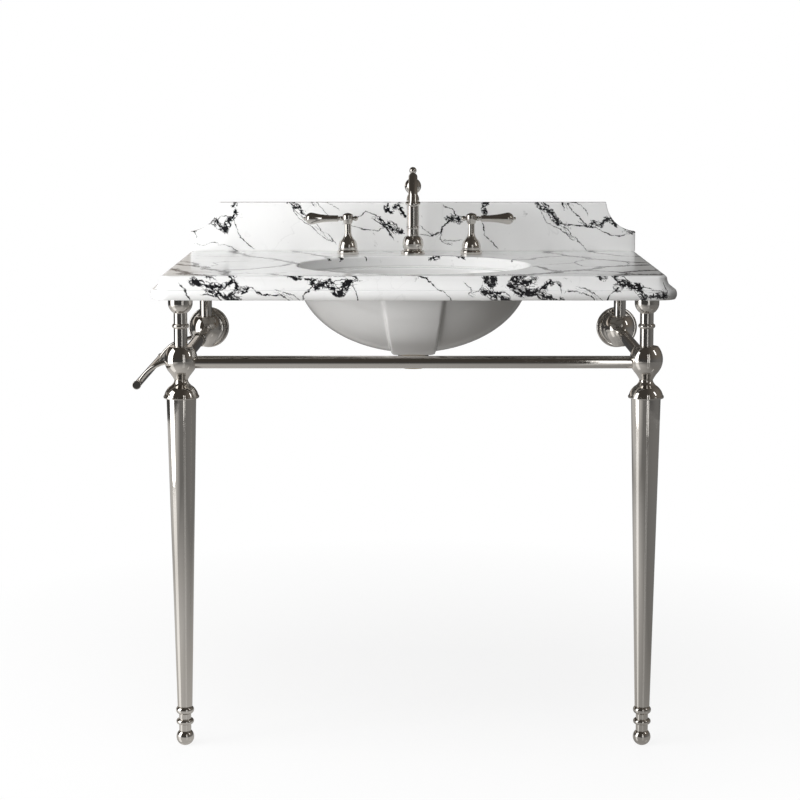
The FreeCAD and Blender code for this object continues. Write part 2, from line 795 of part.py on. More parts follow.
def make_spout():
    """Make the spout: bell base, column with ball, bent arm, outlet and finial."""
    foot = f"{UNDERSIDE} - shank_tail"
    deck = "top_thickness + shank_tail"
    bell_bore = "column_radius + seat_clearance"
    bell = [
        (CLAMP_CAVITY, "0"),
        ("spout_rim_radius", "0"),
        ("spout_rim_radius", "bell_rim / 3", QUARTER_ROUND),
        ("spout_bell_radius", "bell_rim", DOME),
        ("column_radius + bell_wall", "spout_bell"),
        (bell_bore, "spout_bell"),
        (bell_bore, CLAMP_CEILING),
        (CLAMP_CAVITY, CLAMP_CEILING),
    ]
    keep(turned("spout_bell_body", bell, ("0", TAP_ROW, DECK)), "spout_base")

    ring_foot, ring_top = f"{deck} + column_ring_level", f"{deck} + column_ring_level + column_ring"
    band_foot, band_top = f"{deck} + column_band_level", f"{deck} + column_band_level + column_band"
    ball = f"{deck} + ball_level"
    ball_sizes = ("ball_radius", "column_neck_radius", "finial_neck_radius")
    ball_rise = "sqrt(ball_radius^2 - column_neck_radius^2)"
    crown = f"{ball} + sqrt(ball_radius^2 - finial_neck_radius^2)"
    column = [
        ("water_bore_radius", "0"),
        ("inlet_radius", "0"),
        ("inlet_radius", "inlet_length"),
        ("shank_radius", "inlet_length"),
        ("shank_radius", deck),
        ("shank_flange_radius", deck),
        ("shank_flange_radius", f"{deck} + shank_flange"),
        ("column_radius", f"{deck} + shank_flange"),
        ("column_radius", band_foot, CUP),
        ("column_radius", band_top),
        ("column_radius", ring_foot, BEAD),
        ("column_radius", ring_top, SOFT),
        ("column_neck_radius", f"{deck} + column_neck_level"),
        ("column_neck_radius", f"{ball} - {ball_rise}", ball_turn(*ball_sizes)),
        ("finial_neck_radius", crown),
        ("0", crown),
        ("0", f"{ball} + water_bore_radius"),
        ("water_bore_radius", f"{ball} + water_bore_radius"),
    ]
    blank = turned("column_blank", column, ("0", TAP_ROW, foot))
    ball_at = ("0", TAP_ROW, f"{DECK} + ball_level")
    socket_reach = "2 * ball_radius"
    socket = cylinder("arm_socket_hole", "arm_radius + seat_clearance", socket_reach, ball_at)
    place_tilted(socket, ball_at, X_AXIS, "90 - arm_tilt")
    core = cylinder("arm_socket_core", "arm_radius + 2 * seat_clearance", "arm_socket", ball_at)
    place_tilted(core, ball_at, X_AXIS, "90 - arm_tilt")
    finial_hole_foot = f"{DECK} + ball_level + ({crown} - ({ball})) - finial_tenon"
    finial_hole = cylinder(
        "finial_hole",
        "finial_tenon_radius + seat_clearance",
        "2 * finial_tenon",
        ("0", TAP_ROW, finial_hole_foot),
    )
    socket_end = drilled("arm_socket_cut", socket, [core])
    water_way = cylinder("arm_water_way", "water_bore_radius", "arm_socket + cutter_margin", ball_at)
    place_tilted(water_way, ball_at, X_AXIS, "90 - arm_tilt")
    keep(drilled("column", blank, [socket_end, water_way, finial_hole]), "spout_column")

    arm = [
        ("-arm_socket", "0"),
        ("-arm_straight", "0", value("arm_sweep")),
        ("-arm_straight - arm_bend_radius * sin(arm_sweep)", "-arm_bend_radius * (1 - cos(arm_sweep))"),
    ]
    tube = piped("arm", "YZ_Plane", arm, "XZ_Plane", ["arm_radius", "arm_radius - arm_wall"], "arm_socket")
    place_tilted(tube, ball_at, X_AXIS, "-arm_tilt")
    keep(tube, "spout_arm")

    ahead = "(arm_straight + arm_bend_radius * sin(arm_sweep))"
    fall = "(arm_bend_radius * (1 - cos(arm_sweep)))"
    outlet_at = (
        "0",
        f"{TAP_ROW} - {ahead} * cos(arm_tilt) - {fall} * sin(arm_tilt)",
        f"{DECK} + ball_level + {ahead} * sin(arm_tilt) - {fall} * cos(arm_tilt)",
    )
    outlet = [
        ("arm_radius - arm_wall", "0"),
        ("aerator_radius", "0", SOFT),
        ("aerator_radius", "aerator"),
        ("arm_radius - arm_wall", "aerator"),
    ]
    ring = turned("aerator_body", outlet, outlet_at)
    place_tilted(ring, outlet_at, X_AXIS, "90 - arm_tilt + arm_sweep")
    keep(ring, "spout_aerator")

    knob = ("finial_ball_radius", "finial_neck_radius", "tip_flat")
    neck_top = "finial_tenon + finial_neck"
    finial = [
        ("0", "0"),
        ("finial_tenon_radius", "0"),
        ("finial_tenon_radius", "finial_tenon"),
        ("finial_neck_radius", "finial_tenon"),
        ("finial_neck_radius", neck_top, ball_turn(*knob)),
        ("tip_flat", f"{neck_top} + {ball_height(*knob)}"),
        ("0", f"{neck_top} + {ball_height(*knob)}"),
    ]
    keep(turned("finial", finial, ("0", TAP_ROW, finial_hole_foot)), "spout_finial")
    make_tap_fixings("spout", "0")


def make_handle(name, sign, across):
    """Make one valve with its bell, stem and lever; the lever points away from the spout."""
    deck = "top_thickness + shank_tail"
    valve_bore = "stem_radius + running_clearance"
    valve = [
        ("0", "0"),
        ("inlet_radius", "0"),
        ("inlet_radius", "inlet_length"),
        ("shank_radius", "inlet_length"),
        ("shank_radius", deck),
        ("shank_flange_radius", deck),
        ("shank_flange_radius", f"{deck} + shank_flange"),
        ("valve_radius", f"{deck} + shank_flange"),
        ("valve_radius", f"{deck} + valve_top"),
        (valve_bore, f"{deck} + valve_top"),
        (valve_bore, f"{deck} + valve_top - stem_depth - moving_gap"),
        ("0", f"{deck} + valve_top - stem_depth - moving_gap"),
    ]
    valve_foot = f"{UNDERSIDE} - shank_tail"
    keep(turned(f"{name}_valve", valve, (across, TAP_ROW, valve_foot)), f"{name}_valve_body")

    stem_gap = "stem_radius + moving_gap"
    inner_wall = "handle_shoulder_radius - bell_wall"
    bell = [
        (CLAMP_CAVITY, "0"),
        ("handle_rim_radius", "0"),
        ("handle_rim_radius", "bell_rim / 3", QUARTER_ROUND),
        ("handle_bell_radius", "bell_rim", SOFT),
        ("handle_shoulder_radius", "handle_shoulder", HOLLOW),
        ("handle_neck_radius", "handle_neck_level"),
        ("handle_neck_radius", "handle_neck_top"),
        (stem_gap, "handle_neck_top"),
        (stem_gap, "handle_neck_level"),
        (inner_wall, "handle_shoulder"),
        (inner_wall, CLAMP_CEILING),
        (CLAMP_CAVITY, CLAMP_CEILING),
    ]
    keep(turned(f"{name}_bell", bell, (across, TAP_ROW, DECK)), f"{name}_escutcheon")

    hub_foot = "handle_neck_top + moving_gap"
    collar = "stem_depth + stem_collar"
    stem_top = f"stem_depth - valve_top + {hub_foot} + hub_stem_grip"
    stem = [
        ("0", "0"),
        ("stem_radius", "0"),
        ("stem_radius", "stem_depth"),
        ("stem_collar_radius", "stem_depth"),
        ("stem_collar_radius", collar),
        ("stem_radius", collar),
        ("stem_radius", stem_top),
        ("0", stem_top),
    ]
    stem_foot = f"{DECK} + valve_top - stem_depth"
    keep(turned(f"{name}_spindle", stem, (across, TAP_ROW, stem_foot)), f"{name}_stem")

    grip = "stem_radius + running_clearance"
    hub = [
        (grip, "0"),
        ("hub_foot_radius", "0", value("2 * atan((hub_radius - hub_foot_radius) / lever_level)")),
        ("hub_radius", "lever_level"),
        ("hub_radius", "hub_height * 0.8", SOFT),
        ("tip_flat", "hub_height"),
        ("0", "hub_height"),
        ("0", "hub_stem_grip"),
        (grip, "hub_stem_grip"),
    ]
    hub_at = (across, TAP_ROW, f"{DECK} + {hub_foot}")
    lever_at = (across, TAP_ROW, f"{DECK} + {hub_foot} + lever_level")
    outward = TO_RIGHT if sign > 0 else TO_LEFT
    inward = TO_LEFT if sign > 0 else TO_RIGHT
    blank = turned(f"{name}_hub_blank", hub, hub_at)
    tenon_hole = "lever_tenon_radius + seat_clearance"
    holes = []
    for number, way in enumerate((TO_LEFT, TO_RIGHT)):
        rod = cylinder(f"{name}_tenon_hole_{number}", tenon_hole, "2 * hub_radius", lever_at, way)
        core = cylinder(f"{name}_tenon_core_{number}", "hub_radius", "lever_tenon_start", lever_at, way)
        holes.append(drilled(f"{name}_tenon_cut_{number}", rod, [core]))
    keep(drilled(f"{name}_hub_drilled", blank, holes), f"{name}_hub")

    lever = [
        ("0", "lever_tenon_start"),
        ("lever_tenon_radius", "lever_tenon_start"),
        ("lever_tenon_radius", "hub_radius"),
        ("lever_collar_radius", "hub_radius"),
        ("lever_collar_radius", "hub_radius + lever_tip", COVE),
        ("lever_collar_radius", "lever_root"),
        ("lever_root_radius", "lever_root", -FAINT),
        ("lever_belly_radius", "lever_belly", DOME),
        ("lever_tip_radius", "lever_end", HOLLOW),
        ("lever_tip_radius", "lever_end + lever_tip / 2", DOME),
        ("tip_flat", "lever_end + lever_tip"),
        ("0", "lever_end + lever_tip"),
    ]
    keep(turned(f"{name}_lever_body", lever, lever_at, outward), f"{name}_lever")

    bead = ("counter_ball_radius", "lever_waist_radius", "tip_flat")
    counter = [
        ("0", "lever_tenon_start"),
        ("lever_tenon_radius", "lever_tenon_start"),
        ("lever_tenon_radius", "hub_radius"),
        ("lever_waist_radius", "hub_radius"),
        ("lever_waist_radius", f"counter_reach - ({ball_height(*bead)})", ball_turn(*bead)),
        ("tip_flat", "counter_reach"),
        ("0", "counter_reach"),
    ]
    keep(turned(f"{name}_counter", counter, lever_at, inward), f"{name}_counter_finial")
    make_tap_fixings(name, across)


def make_leg(side, column):
    """Make one front leg from the foot up to the collar below the urn."""
    bore = "foot_stud_radius + running_clearance"
    foot = [
        ("0", "0"),
        ("foot_flat_radius", "0", BALL),
        ("ankle_neck_radius", "foot_height"),
        ("foot_stud_radius", "foot_height"),
        ("foot_stud_radius", "foot_height + foot_stud"),
        ("0", "foot_height + foot_stud"),
    ]
    keep(turned(f"{side}_foot_body", foot, (column, FRONT_ROW, FLOOR)), f"{side}_foot")

    low, waist = "ankle_neck", "ankle_neck + ankle_low_ring"
    high = f"{waist} + ankle_waist"
    spigot = "leg_foot_radius - leg_wall - seat_clearance"
    bore_top = "foot_stud + foot_bore_spare"
    ankle = [
        (bore, "0"),
        ("ankle_neck_radius", "0"),
        ("ankle_neck_radius", low, HALF_ROUND),
        ("ankle_neck_radius", waist),
        ("ankle_neck_radius", high, BEAD),
        ("ankle_neck_radius", ANKLE_HEIGHT),
        (spigot, ANKLE_HEIGHT),
        (spigot, f"{ANKLE_HEIGHT} + ankle_spigot"),
        ("0", f"{ANKLE_HEIGHT} + ankle_spigot"),
        ("0", bore_top),
        (bore, bore_top),
    ]
    keep(turned(f"{side}_ankle_body", ankle, (column, FRONT_ROW, ANKLE_FOOT)), f"{side}_ankle")

    tube = [
        ("leg_foot_radius - leg_wall", "0"),
        ("leg_foot_radius", "0"),
        ("leg_top_radius", "leg_length"),
        ("leg_top_radius - leg_wall", "leg_length"),
    ]
    keep(turned(f"{side}_tube", tube, (column, FRONT_ROW, LEG_FOOT)), f"{side}_leg_tube")

    plug = "leg_top_radius - leg_wall - spigot_clearance"
    socket = "tenon_radius + seat_clearance"
    socket_floor = "collar_spigot + collar_height - tenon_length"
    collar = [
        ("0", "0"),
        (plug, "0"),
        (plug, "collar_spigot"),
        ("collar_rim_radius", "collar_spigot", SOFT),
        ("collar_rim_radius", "collar_spigot + collar_rim"),
        ("collar_shoulder_radius", "collar_spigot + collar_rim", SOFT),
        ("collar_waist_radius", "collar_spigot + collar_waist_level", -SOFT),
        ("urn_foot_radius", "collar_spigot + collar_height - collar_neck"),
        ("urn_foot_radius", "collar_spigot + collar_height"),
        (socket, "collar_spigot + collar_height"),
        (socket, socket_floor),
        ("0", socket_floor),
    ]
    collar_at = (column, FRONT_ROW, f"{COLLAR_FOOT} - collar_spigot")
    keep(turned(f"{side}_collar", collar, collar_at), f"{side}_leg_collar")


def make_urn(label, column, row_place, bores, tenon, bosses, extra_holes):
    """Make an urn-shaped connector with a blind bore for each rail.

    Args give the label, its place in plan, each bore as (rotation, radius of what goes in), whether a tenon
    stands below it, the rotations of the bosses on its outside, and further holes to drill.
    """
    drop = "tenon_length" if tenon else "0"
    profile = [
        ("urn_foot_radius", drop, -FAINT),
        ("urn_waist_radius", f"{drop} + urn_waist_level", DOME),
        ("urn_top_radius", f"{drop} + urn_height"),
        ("0", f"{drop} + urn_height"),
    ]
    below = [("0", "0"), ("tenon_radius", "0"), ("tenon_radius", drop)] if tenon else [("0", "0")]
    solid = turned(f"{label}_blank", below + profile, (column, row_place, f"{URN_FOOT} - {drop}"))
    at = (column, row_place, RAIL_LEVEL)
    for rotation in bosses:
        boss = cylinder(f"{label}_boss", "hub_sleeve_radius", "hub_sleeve_reach", at, rotation)
        solid = joined(f"{label}_solid", [solid, boss])
    socket_at = (column, row_place, f"{POST_FOOT} - tenon_length")
    socket_length = "tenon_length + cutter_margin"
    socket = cylinder(f"{label}_socket", "tenon_radius + seat_clearance", socket_length, socket_at)
    holes = [socket, *extra_holes]
    for number, (rotation, radius) in enumerate(bores):
        reach = "hub_sleeve_reach + cutter_margin"
        rod = cylinder(f"{label}_rod_{number}", f"{radius} + seat_clearance", reach, at, rotation)
        core_radius = f"{radius} + 2 * seat_clearance"
        core = cylinder(f"{label}_core_{number}", core_radius, "hub_stop", at, rotation)
        holes.append(drilled(f"{label}_bore_{number}", rod, [core]))
    keep(drilled(f"{label}_drilled", solid, holes), label)


def make_post(label, column, row_place):
    """Make a short post with a ring and a cup that carries the marble top."""
    ring = "tenon_length + post_ring_level"
    top = "tenon_length + post_length"
    post = [
        ("0", "0"),
        ("tenon_radius", "0"),
        ("tenon_radius", "tenon_length"),
        ("post_radius", "tenon_length"),
        ("post_radius", ring, BEAD),
        ("post_radius", f"{ring} + post_ring"),
        ("post_radius", f"{top} - cup_height", CUP),
        ("cup_radius", f"{top} - cup_lip"),
        ("cup_radius", top),
        ("0", top),
    ]
    keep(turned(f"{label}_body", post, (column, row_place, f"{POST_FOOT} - tenon_length")), label)


def make_tube(name, length, at, rotation):
    """Make a straight rail tube."""
    bore = "rail_radius - rail_wall"
    tube = [(bore, "0"), ("rail_radius", "0"), ("rail_radius", length), (bore, length)]
    return turned(name, tube, at, rotation)


def make_flange(side, column):
    """Make the wall flange that plugs into the rear urn and takes the wall anchor."""
    reach = "rear_offset - hub_sleeve_reach"
    shoulder = "hub_sleeve_reach - hub_stop"
    wall = f"{shoulder} + {reach}"
    flange = [
        ("0", "0"),
        ("flange_tenon_radius", "0"),
        ("flange_tenon_radius", shoulder),
        ("hub_sleeve_radius", shoulder, COVE),
        ("flange_step_radius", f"{wall} - flange_rim - flange_step", SOFT),
        ("flange_step_radius + flange_step / 2", f"{wall} - flange_rim"),
        ("flange_radius - flange_step / 2", f"{wall} - flange_rim", QUARTER_ROUND),
        ("flange_radius", f"{wall} - flange_rim / 2"),
        ("flange_radius", wall),
        ("anchor_radius", wall),
        ("anchor_radius", f"{wall} - anchor_depth"),
        ("0", f"{wall} - anchor_depth"),
    ]
    at = (column, f"{REAR_ROW} + hub_stop", RAIL_LEVEL)
    keep(turned(f"{side}_flange", flange, at, TO_BACK), f"{side}_wall_flange")


# Where the towel arms end, outwards from the leg and up from the rail
TOWEL_END = "towel_droop + towel_arm_sweep"
TOWEL_OUT = (
    f"(towel_arm_straight * cos(towel_droop) + towel_arm_tenon * cos({TOWEL_END})"
    f" + towel_arm_bend_radius * (sin({TOWEL_END}) - sin(towel_droop)))"
)
TOWEL_UP = (
    f"(towel_rise - towel_arm_straight * sin(towel_droop) - towel_arm_tenon * sin({TOWEL_END})"
    f" - towel_arm_bend_radius * (cos(towel_droop) - cos({TOWEL_END})))"
)
TOWEL_LEVEL = f"{RAIL_LEVEL} + towel_rise"
TOWEL_REAR_ROW = f"{FRONT_ROW} + towel_arm_spacing"


def towel_hole(name, row_place, start):
    """Make the drill that opens a towel arm's hole from a start distance outwards."""
    at = (
        f"{LEFT_COLUMN} - ({start}) * cos(towel_droop)",
        row_place,
        f"{TOWEL_LEVEL} - ({start}) * sin(towel_droop)",
    )
    hole = cylinder(name, "towel_arm_radius + seat_clearance", "towel_arm_straight", at)
    place_tilted(hole, at, Y_AXIS, "-90 - towel_droop")
    return hole


def make_towel_bar():
    """Make the towel bar on the left: two bent arms, the bar and its end caps."""
    straight = "towel_arm_straight"
    bend_out = f"-{straight} - towel_arm_bend_radius * sin(towel_arm_sweep)"
    bend_down = "-towel_arm_bend_radius * (1 - cos(towel_arm_sweep))"
    tip_out = f"{bend_out} - towel_arm_tenon * cos(towel_arm_sweep)"
    tip_down = f"{bend_down} - towel_arm_tenon * sin(towel_arm_sweep)"
    bar_x = f"{LEFT_COLUMN} - {TOWEL_OUT}"
    bar_z = f"{RAIL_LEVEL} + {TOWEL_UP}"
    bar_holes = []
    for name, row_place, socket in (
        ("towel_arm_front", FRONT_ROW, "towel_urn_socket"),
        ("towel_arm_rear", TOWEL_REAR_ROW, "towel_rail_socket"),
    ):
        path = [
            (f"-({socket})", "0"),
            (f"-{straight}", "0", value("towel_arm_sweep")),
            (bend_out, bend_down),
            (tip_out, tip_down),
        ]
        arm = piped(f"{name}_body", "XZ_Plane", path, "YZ_Plane", ["towel_arm_radius"], f"-({socket})")
        place_tilted(arm, (LEFT_COLUMN, row_place, TOWEL_LEVEL), Y_AXIS, "-towel_droop")
        keep(arm, name)
        hole_at = (bar_x, row_place, bar_z)
        hole = cylinder(f"{name}_hole", "towel_arm_radius + seat_clearance", "towel_arm_tenon", hole_at)
        place_tilted(hole, hole_at, Y_AXIS, f"90 - ({TOWEL_END})")
        bar_holes.append(hole)

    collar_bore = "rail_radius + seat_clearance"
    collar = [
        (collar_bore, "0"),
        ("towel_collar_radius", "0"),
        ("towel_collar_radius", "towel_collar"),
        (collar_bore, "towel_collar"),
    ]
    collar_at = (LEFT_COLUMN, f"{TOWEL_REAR_ROW} - towel_collar / 2", RAIL_LEVEL)
    collar_blank = turned("rail_collar_blank", collar, collar_at, TO_BACK)
    socket = towel_hole("rear_arm_hole", TOWEL_REAR_ROW, "towel_rail_socket")
    keep(drilled("rail_collar", collar_blank, [socket]), "towel_rail_collar")

    bar_front = f"{FRONT_ROW} - towel_front_overhang"
    cap_bore = "towel_cap_tenon_radius + seat_clearance"
    cap_seat = "towel_cap_tenon + seat_clearance"
    bar = [
        ("0", cap_seat),
        (cap_bore, cap_seat),
        (cap_bore, "0"),
        ("towel_bar_radius", "0"),
        ("towel_bar_radius", "towel_bar_length"),
        (cap_bore, "towel_bar_length"),
        (cap_bore, f"towel_bar_length - ({cap_seat})"),
        ("0", f"towel_bar_length - ({cap_seat})"),
    ]
    bar_blank = turned("bar_blank", bar, (bar_x, bar_front, bar_z), TO_BACK)
    keep(drilled("bar", bar_blank, bar_holes), "towel_bar")

    cap = [
        ("0", "0"),
        ("towel_cap_radius", "0"),
        ("towel_cap_radius", "towel_cap"),
        ("towel_cap_tenon_radius", "towel_cap"),
        ("towel_cap_tenon_radius", "towel_cap + towel_cap_tenon"),
        ("0", "towel_cap + towel_cap_tenon"),
    ]
    front_cap = turned("front_cap", cap, (bar_x, f"{bar_front} - towel_cap", bar_z), TO_BACK)
    rear_end = f"{bar_front} + towel_bar_length + towel_cap"
    rear_cap = turned("rear_cap", cap, (bar_x, rear_end, bar_z), TO_FRONT)
    keep(group("caps", [front_cap, rear_cap]), "towel_end_caps")


def make_frame():
    """Make both legs with their connectors, posts, rails and flanges, and the crossbar between them."""
    rail = "rail_radius"
    rail_length = "top_depth - leg_setback - rear_offset - 2 * hub_stop"
    for side, column, inward in (("left", LEFT_COLUMN, TO_RIGHT), ("right", RIGHT_COLUMN, TO_LEFT)):
        make_leg(side, column)
        rail_at = (column, f"{FRONT_ROW} + hub_stop", RAIL_LEVEL)
        tube = make_tube(f"{side}_rail", rail_length, rail_at, TO_BACK)
        front_holes = []
        if side == "left":
            front_holes.append(towel_hole("front_arm_hole", FRONT_ROW, "towel_urn_socket"))
            rear_hole = towel_hole("rail_arm_hole", TOWEL_REAR_ROW, "towel_rail_socket")
            tube = drilled("drilled_rail", tube, [rear_hole])
        keep(tube, f"{side}_side_rail")
        front_bores = [(inward, rail), (TO_BACK, rail)]
        make_urn(f"{side}_front_urn", column, FRONT_ROW, front_bores, True, [], front_holes)
        make_post(f"{side}_front_post", column, FRONT_ROW)
        rear_bores = [(TO_FRONT, rail), (TO_BACK, "flange_tenon_radius")]
        make_urn(f"{side}_rear_urn", column, REAR_ROW, rear_bores, False, [TO_BACK], [])
        make_post(f"{side}_rear_post", column, REAR_ROW)
        make_flange(side, column)
    crossbar_at = (f"{LEFT_COLUMN} + hub_stop", FRONT_ROW, RAIL_LEVEL)
    crossbar_length = f"2 * {RIGHT_COLUMN} - 2 * hub_stop"
    keep(make_tube("crossbar", crossbar_length, crossbar_at, TO_RIGHT), "front_crossbar")


def check_and_write():
    """Stop if any object failed, then write each sub-part to its own file."""
    doc.recompute()
    for thing in doc.Objects:
        if "Invalid" in thing.State or "Error" in thing.State:
            raise RuntimeError(f"{thing.Label} failed: {thing.State}")
    for node in nodes:
        if node.Shape.isNull() or not node.Shape.isValid() or not node.Shape.Solids:
            raise RuntimeError(f"{node.Label} has no sound solid")
    os.makedirs("parts", exist_ok=True)
    for node in nodes:
        node.Shape.exportStep(f"parts/{node.Label}.step")


make_marble()
make_basin()
make_waste()
make_spout()
make_handle("hot", -1, "-hot_offset")
make_handle("cold", 1, "cold_offset")
make_frame()
make_towel_bar()
check_and_write()
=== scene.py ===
"""Dress the console washstand: nickel frame and tap, veined marble, glazed basin and a white studio."""

from __future__ import annotations

import logging
import math
from collections.abc import Iterable, Sequence
from dataclasses import dataclass
from enum import Enum

import bpy
import numpy as np
from mathutils import Euler, Matrix, Vector


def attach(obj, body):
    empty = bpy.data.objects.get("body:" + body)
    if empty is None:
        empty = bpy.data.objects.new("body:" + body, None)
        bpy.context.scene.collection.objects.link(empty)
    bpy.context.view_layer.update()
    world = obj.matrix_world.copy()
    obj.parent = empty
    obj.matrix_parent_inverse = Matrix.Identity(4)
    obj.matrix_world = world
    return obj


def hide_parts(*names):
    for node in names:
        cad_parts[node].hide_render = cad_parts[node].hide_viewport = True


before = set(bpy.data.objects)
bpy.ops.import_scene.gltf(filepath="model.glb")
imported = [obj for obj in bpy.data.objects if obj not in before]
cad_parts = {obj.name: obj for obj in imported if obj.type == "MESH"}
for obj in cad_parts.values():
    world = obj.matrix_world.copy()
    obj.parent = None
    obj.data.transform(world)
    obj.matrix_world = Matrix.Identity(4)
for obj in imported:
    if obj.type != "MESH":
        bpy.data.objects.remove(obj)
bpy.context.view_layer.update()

log = logging.getLogger("washstand")

MM = 0.001
WHITE = (1.0, 1.0, 1.0, 1.0)
Colour = tuple[float, float, float]
Spot = tuple[float, float]
Outline = Sequence[tuple[float, ...]]
Walk = tuple[np.ndarray, np.ndarray]

# How far a curve turns between its ends: positive bulges out of the solid, negative hollows it
QUARTER_ROUND = 90.0
HALF_ROUND = 179.0
BEAD = 150.0
BALL = 116.0
DOME = 78.0
CUP = 62.0
SOFT = 40.0
FAINT = 16.0
COVE = -70.0
HOLLOW = -45.0

# Places and levels shared by several sub-assemblies, in mm
DECK = 22.5
UNDERSIDE = -18.5
NOSE_TOP = -1.2
TAP_ROW = -90.0
LEG_COLUMN = 409.0
FRONT_ROW = -515.0
REAR_ROW = -58.0
RAIL_LEVEL = -131.7
RAIL_RADIUS = 11.1
URN_TOP = -103.5
URN_FOOT = -162.5
TENON_RADIUS = 8.0
TENON = 18.0
TIP_FLAT = 0.6
BOWL_ROW = -319.0

# How many points an oval ring of the basin has
OVAL_SIDES = 360


class Way(Enum):
    """The turn that points a turned piece's own axis up, back, forwards, right or left."""

    UP = ("X", 0.0)
    BACK = ("X", -90.0)
    FRONT = ("X", 90.0)
    RIGHT = ("Y", 90.0)
    LEFT = ("Y", -90.0)


class Side(Enum):
    """Which side of the washstand a piece is on, with the sign of its X."""

    LEFT = -1
    RIGHT = 1

    @property
    def word(self) -> str:
        """The side's name as the pieces use it."""
        return self.name.lower()


# Shader and geometry graphs


class Value:
    """A node's output socket, on which plain sums and products add Math nodes."""

    def __init__(self, graph: Graph, socket: bpy.types.NodeSocket) -> None:
        """Keep the socket and the graph it belongs to."""
        self.graph = graph
        self.socket = socket

    def maths(self, operation: str, first: Value | float, second: Value | float = 0.0) -> Value:
        """Add a Math node.

        Args:
            operation: The node's operation.
            first: The first value.
            second: The second value.

        Returns:
            The node's result.
        """
        return self.graph.node("ShaderNodeMath", {"operation": operation}, {0: first, 1: second})

    def __add__(self, other: Value | float) -> Value:
        """Return the sum."""
        return self.maths("ADD", self, other)

    def __sub__(self, other: Value | float) -> Value:
        """Return the difference."""
        return self.maths("SUBTRACT", self, other)

    def __rsub__(self, other: float) -> Value:
        """Return the difference, with the number on the left."""
        return self.maths("SUBTRACT", other, self)

    def __mul__(self, other: Value | float) -> Value:
        """Return the product."""
        return self.maths("MULTIPLY", self, other)

    def __abs__(self) -> Value:
        """Return the size without its sign."""
        return self.maths("ABSOLUTE", self)

    def larger(self, other: Value | float) -> Value:
        """Return the larger of two values."""
        return self.maths("MAXIMUM", self, other)

    def held(self) -> Value:
        """Return the value held between 0 and 1."""
        return self.graph.node("ShaderNodeClamp", {}, {0: self})


class Graph:
    """A node tree that grows by expressions."""

    def __init__(self, tree: bpy.types.NodeTree) -> None:
        """Take over an empty node tree."""
        self.tree = tree

    @staticmethod
    def pick(sockets: Sequence[bpy.types.NodeSocket], key: str | int) -> bpy.types.NodeSocket:
        """Return the socket with an identifier, a name or a place in the list."""
        named = [socket for socket in sockets if socket.identifier == key]
        return named[0] if named else sockets[key]

    def node(
        self,
        kind: str,
        settings: dict[str, object] | None = None,
        inputs: dict[str | int, object] | None = None,
        output: str | int = 0,
    ) -> Value:
        """Add a node.

        Args:
            kind: The node's type.
            settings: Its properties, set first.
            inputs: Numbers, colours or links for its sockets.
            output: Which of its outputs to return.

        Returns:
            The chosen output.
        """
        made = self.tree.nodes.new(kind)
        for name, setting in (settings or {}).items():
            setattr(made, name, setting)
        for key, given in (inputs or {}).items():
            socket = self.pick(made.inputs, key)
            if isinstance(given, Value):
                self.tree.links.new(given.socket, socket)
            else:
                socket.default_value = given
        return Value(self, self.pick(made.outputs, output) if made.outputs else None)


class Paint(Graph):
    """A material's graph, with the textures that the finishes share."""

    def __init__(self, name: str) -> None:
        """Make an empty material.

        Args:
            name: The material's name.
        """
        self.material = bpy.data.materials.new(name)
        self.material.use_nodes = True
        super().__init__(self.material.node_tree)
        self.tree.nodes.clear()
        self.place = self.node("ShaderNodeTexCoord", {}, {}, "Object")

    def noise(self, scale: float, detail: float = 2.0, distortion: float = 0.0) -> Value:
        """Add a noise texture.

        Args:
            scale: How many features there are in a metre.
            detail: How many finer layers it has.
            distortion: How far it is pulled about.

        Returns:
            Its value, about 0.5 on average.
        """
        inputs = {"Vector": self.place, "Scale": scale, "Detail": detail, "Distortion": distortion}
        return self.node("ShaderNodeTexNoise", {}, inputs)

    def field(self, name: str) -> Value:
        """Return one of the mesh's own attributes."""
        return self.node("ShaderNodeAttribute", {"attribute_name": name}, {}, "Fac")

    def parts(self) -> list[Value]:
        """Return the X, Y and Z of the coordinates."""
        return [self.node("ShaderNodeSeparateXYZ", {}, {0: self.place}, axis) for axis in "XYZ"]

    def spread(self) -> Value:
        """Return the distance from the origin of the coordinates."""
        return self.node("ShaderNodeVectorMath", {"operation": "LENGTH"}, {0: self.place}, "Value")

    def mix(self, share: Value | float, first: Value | Colour, second: Value | Colour) -> Value:
        """Mix two colours, or two vectors.

        Args:
            share: How much of the second there is.
            first: The first.
            second: The second.

        Returns:
            The mixture.
        """
        one, two = (end if isinstance(end, Value) else (*end, 1.0) for end in (first, second))
        inputs = {"Factor_Float": share, "A_Color": one, "B_Color": two}
        return self.node("ShaderNodeMix", {"data_type": "RGBA"}, inputs, "Result_Color")

    def bump(self, height: Value, strength: float, distance: float) -> Value:
        """Turn a height into a normal."""
        inputs = {"Strength": strength, "Distance": distance, "Height": height}
        return self.node("ShaderNodeBump", {}, inputs)

    def glow(self, colour: Value | tuple[float, ...], strength: Value | float) -> Value:
        """Return a shader that gives off light."""
        return self.node("ShaderNodeEmission", {}, {"Color": colour, "Strength": strength})

    def cover(self, shader: Value) -> None:
        """Put a shader on the material's surface."""
        self.node("ShaderNodeOutputMaterial", {}, {"Surface": shader})

    def surface(self, **inputs: object) -> None:
        """Finish the material with a Principled shader; names use _ for a space."""
        named = {key.replace("_", " "): given for key, given in inputs.items()}
        self.cover(self.node("ShaderNodeBsdfPrincipled", {}, named))


# Finishes


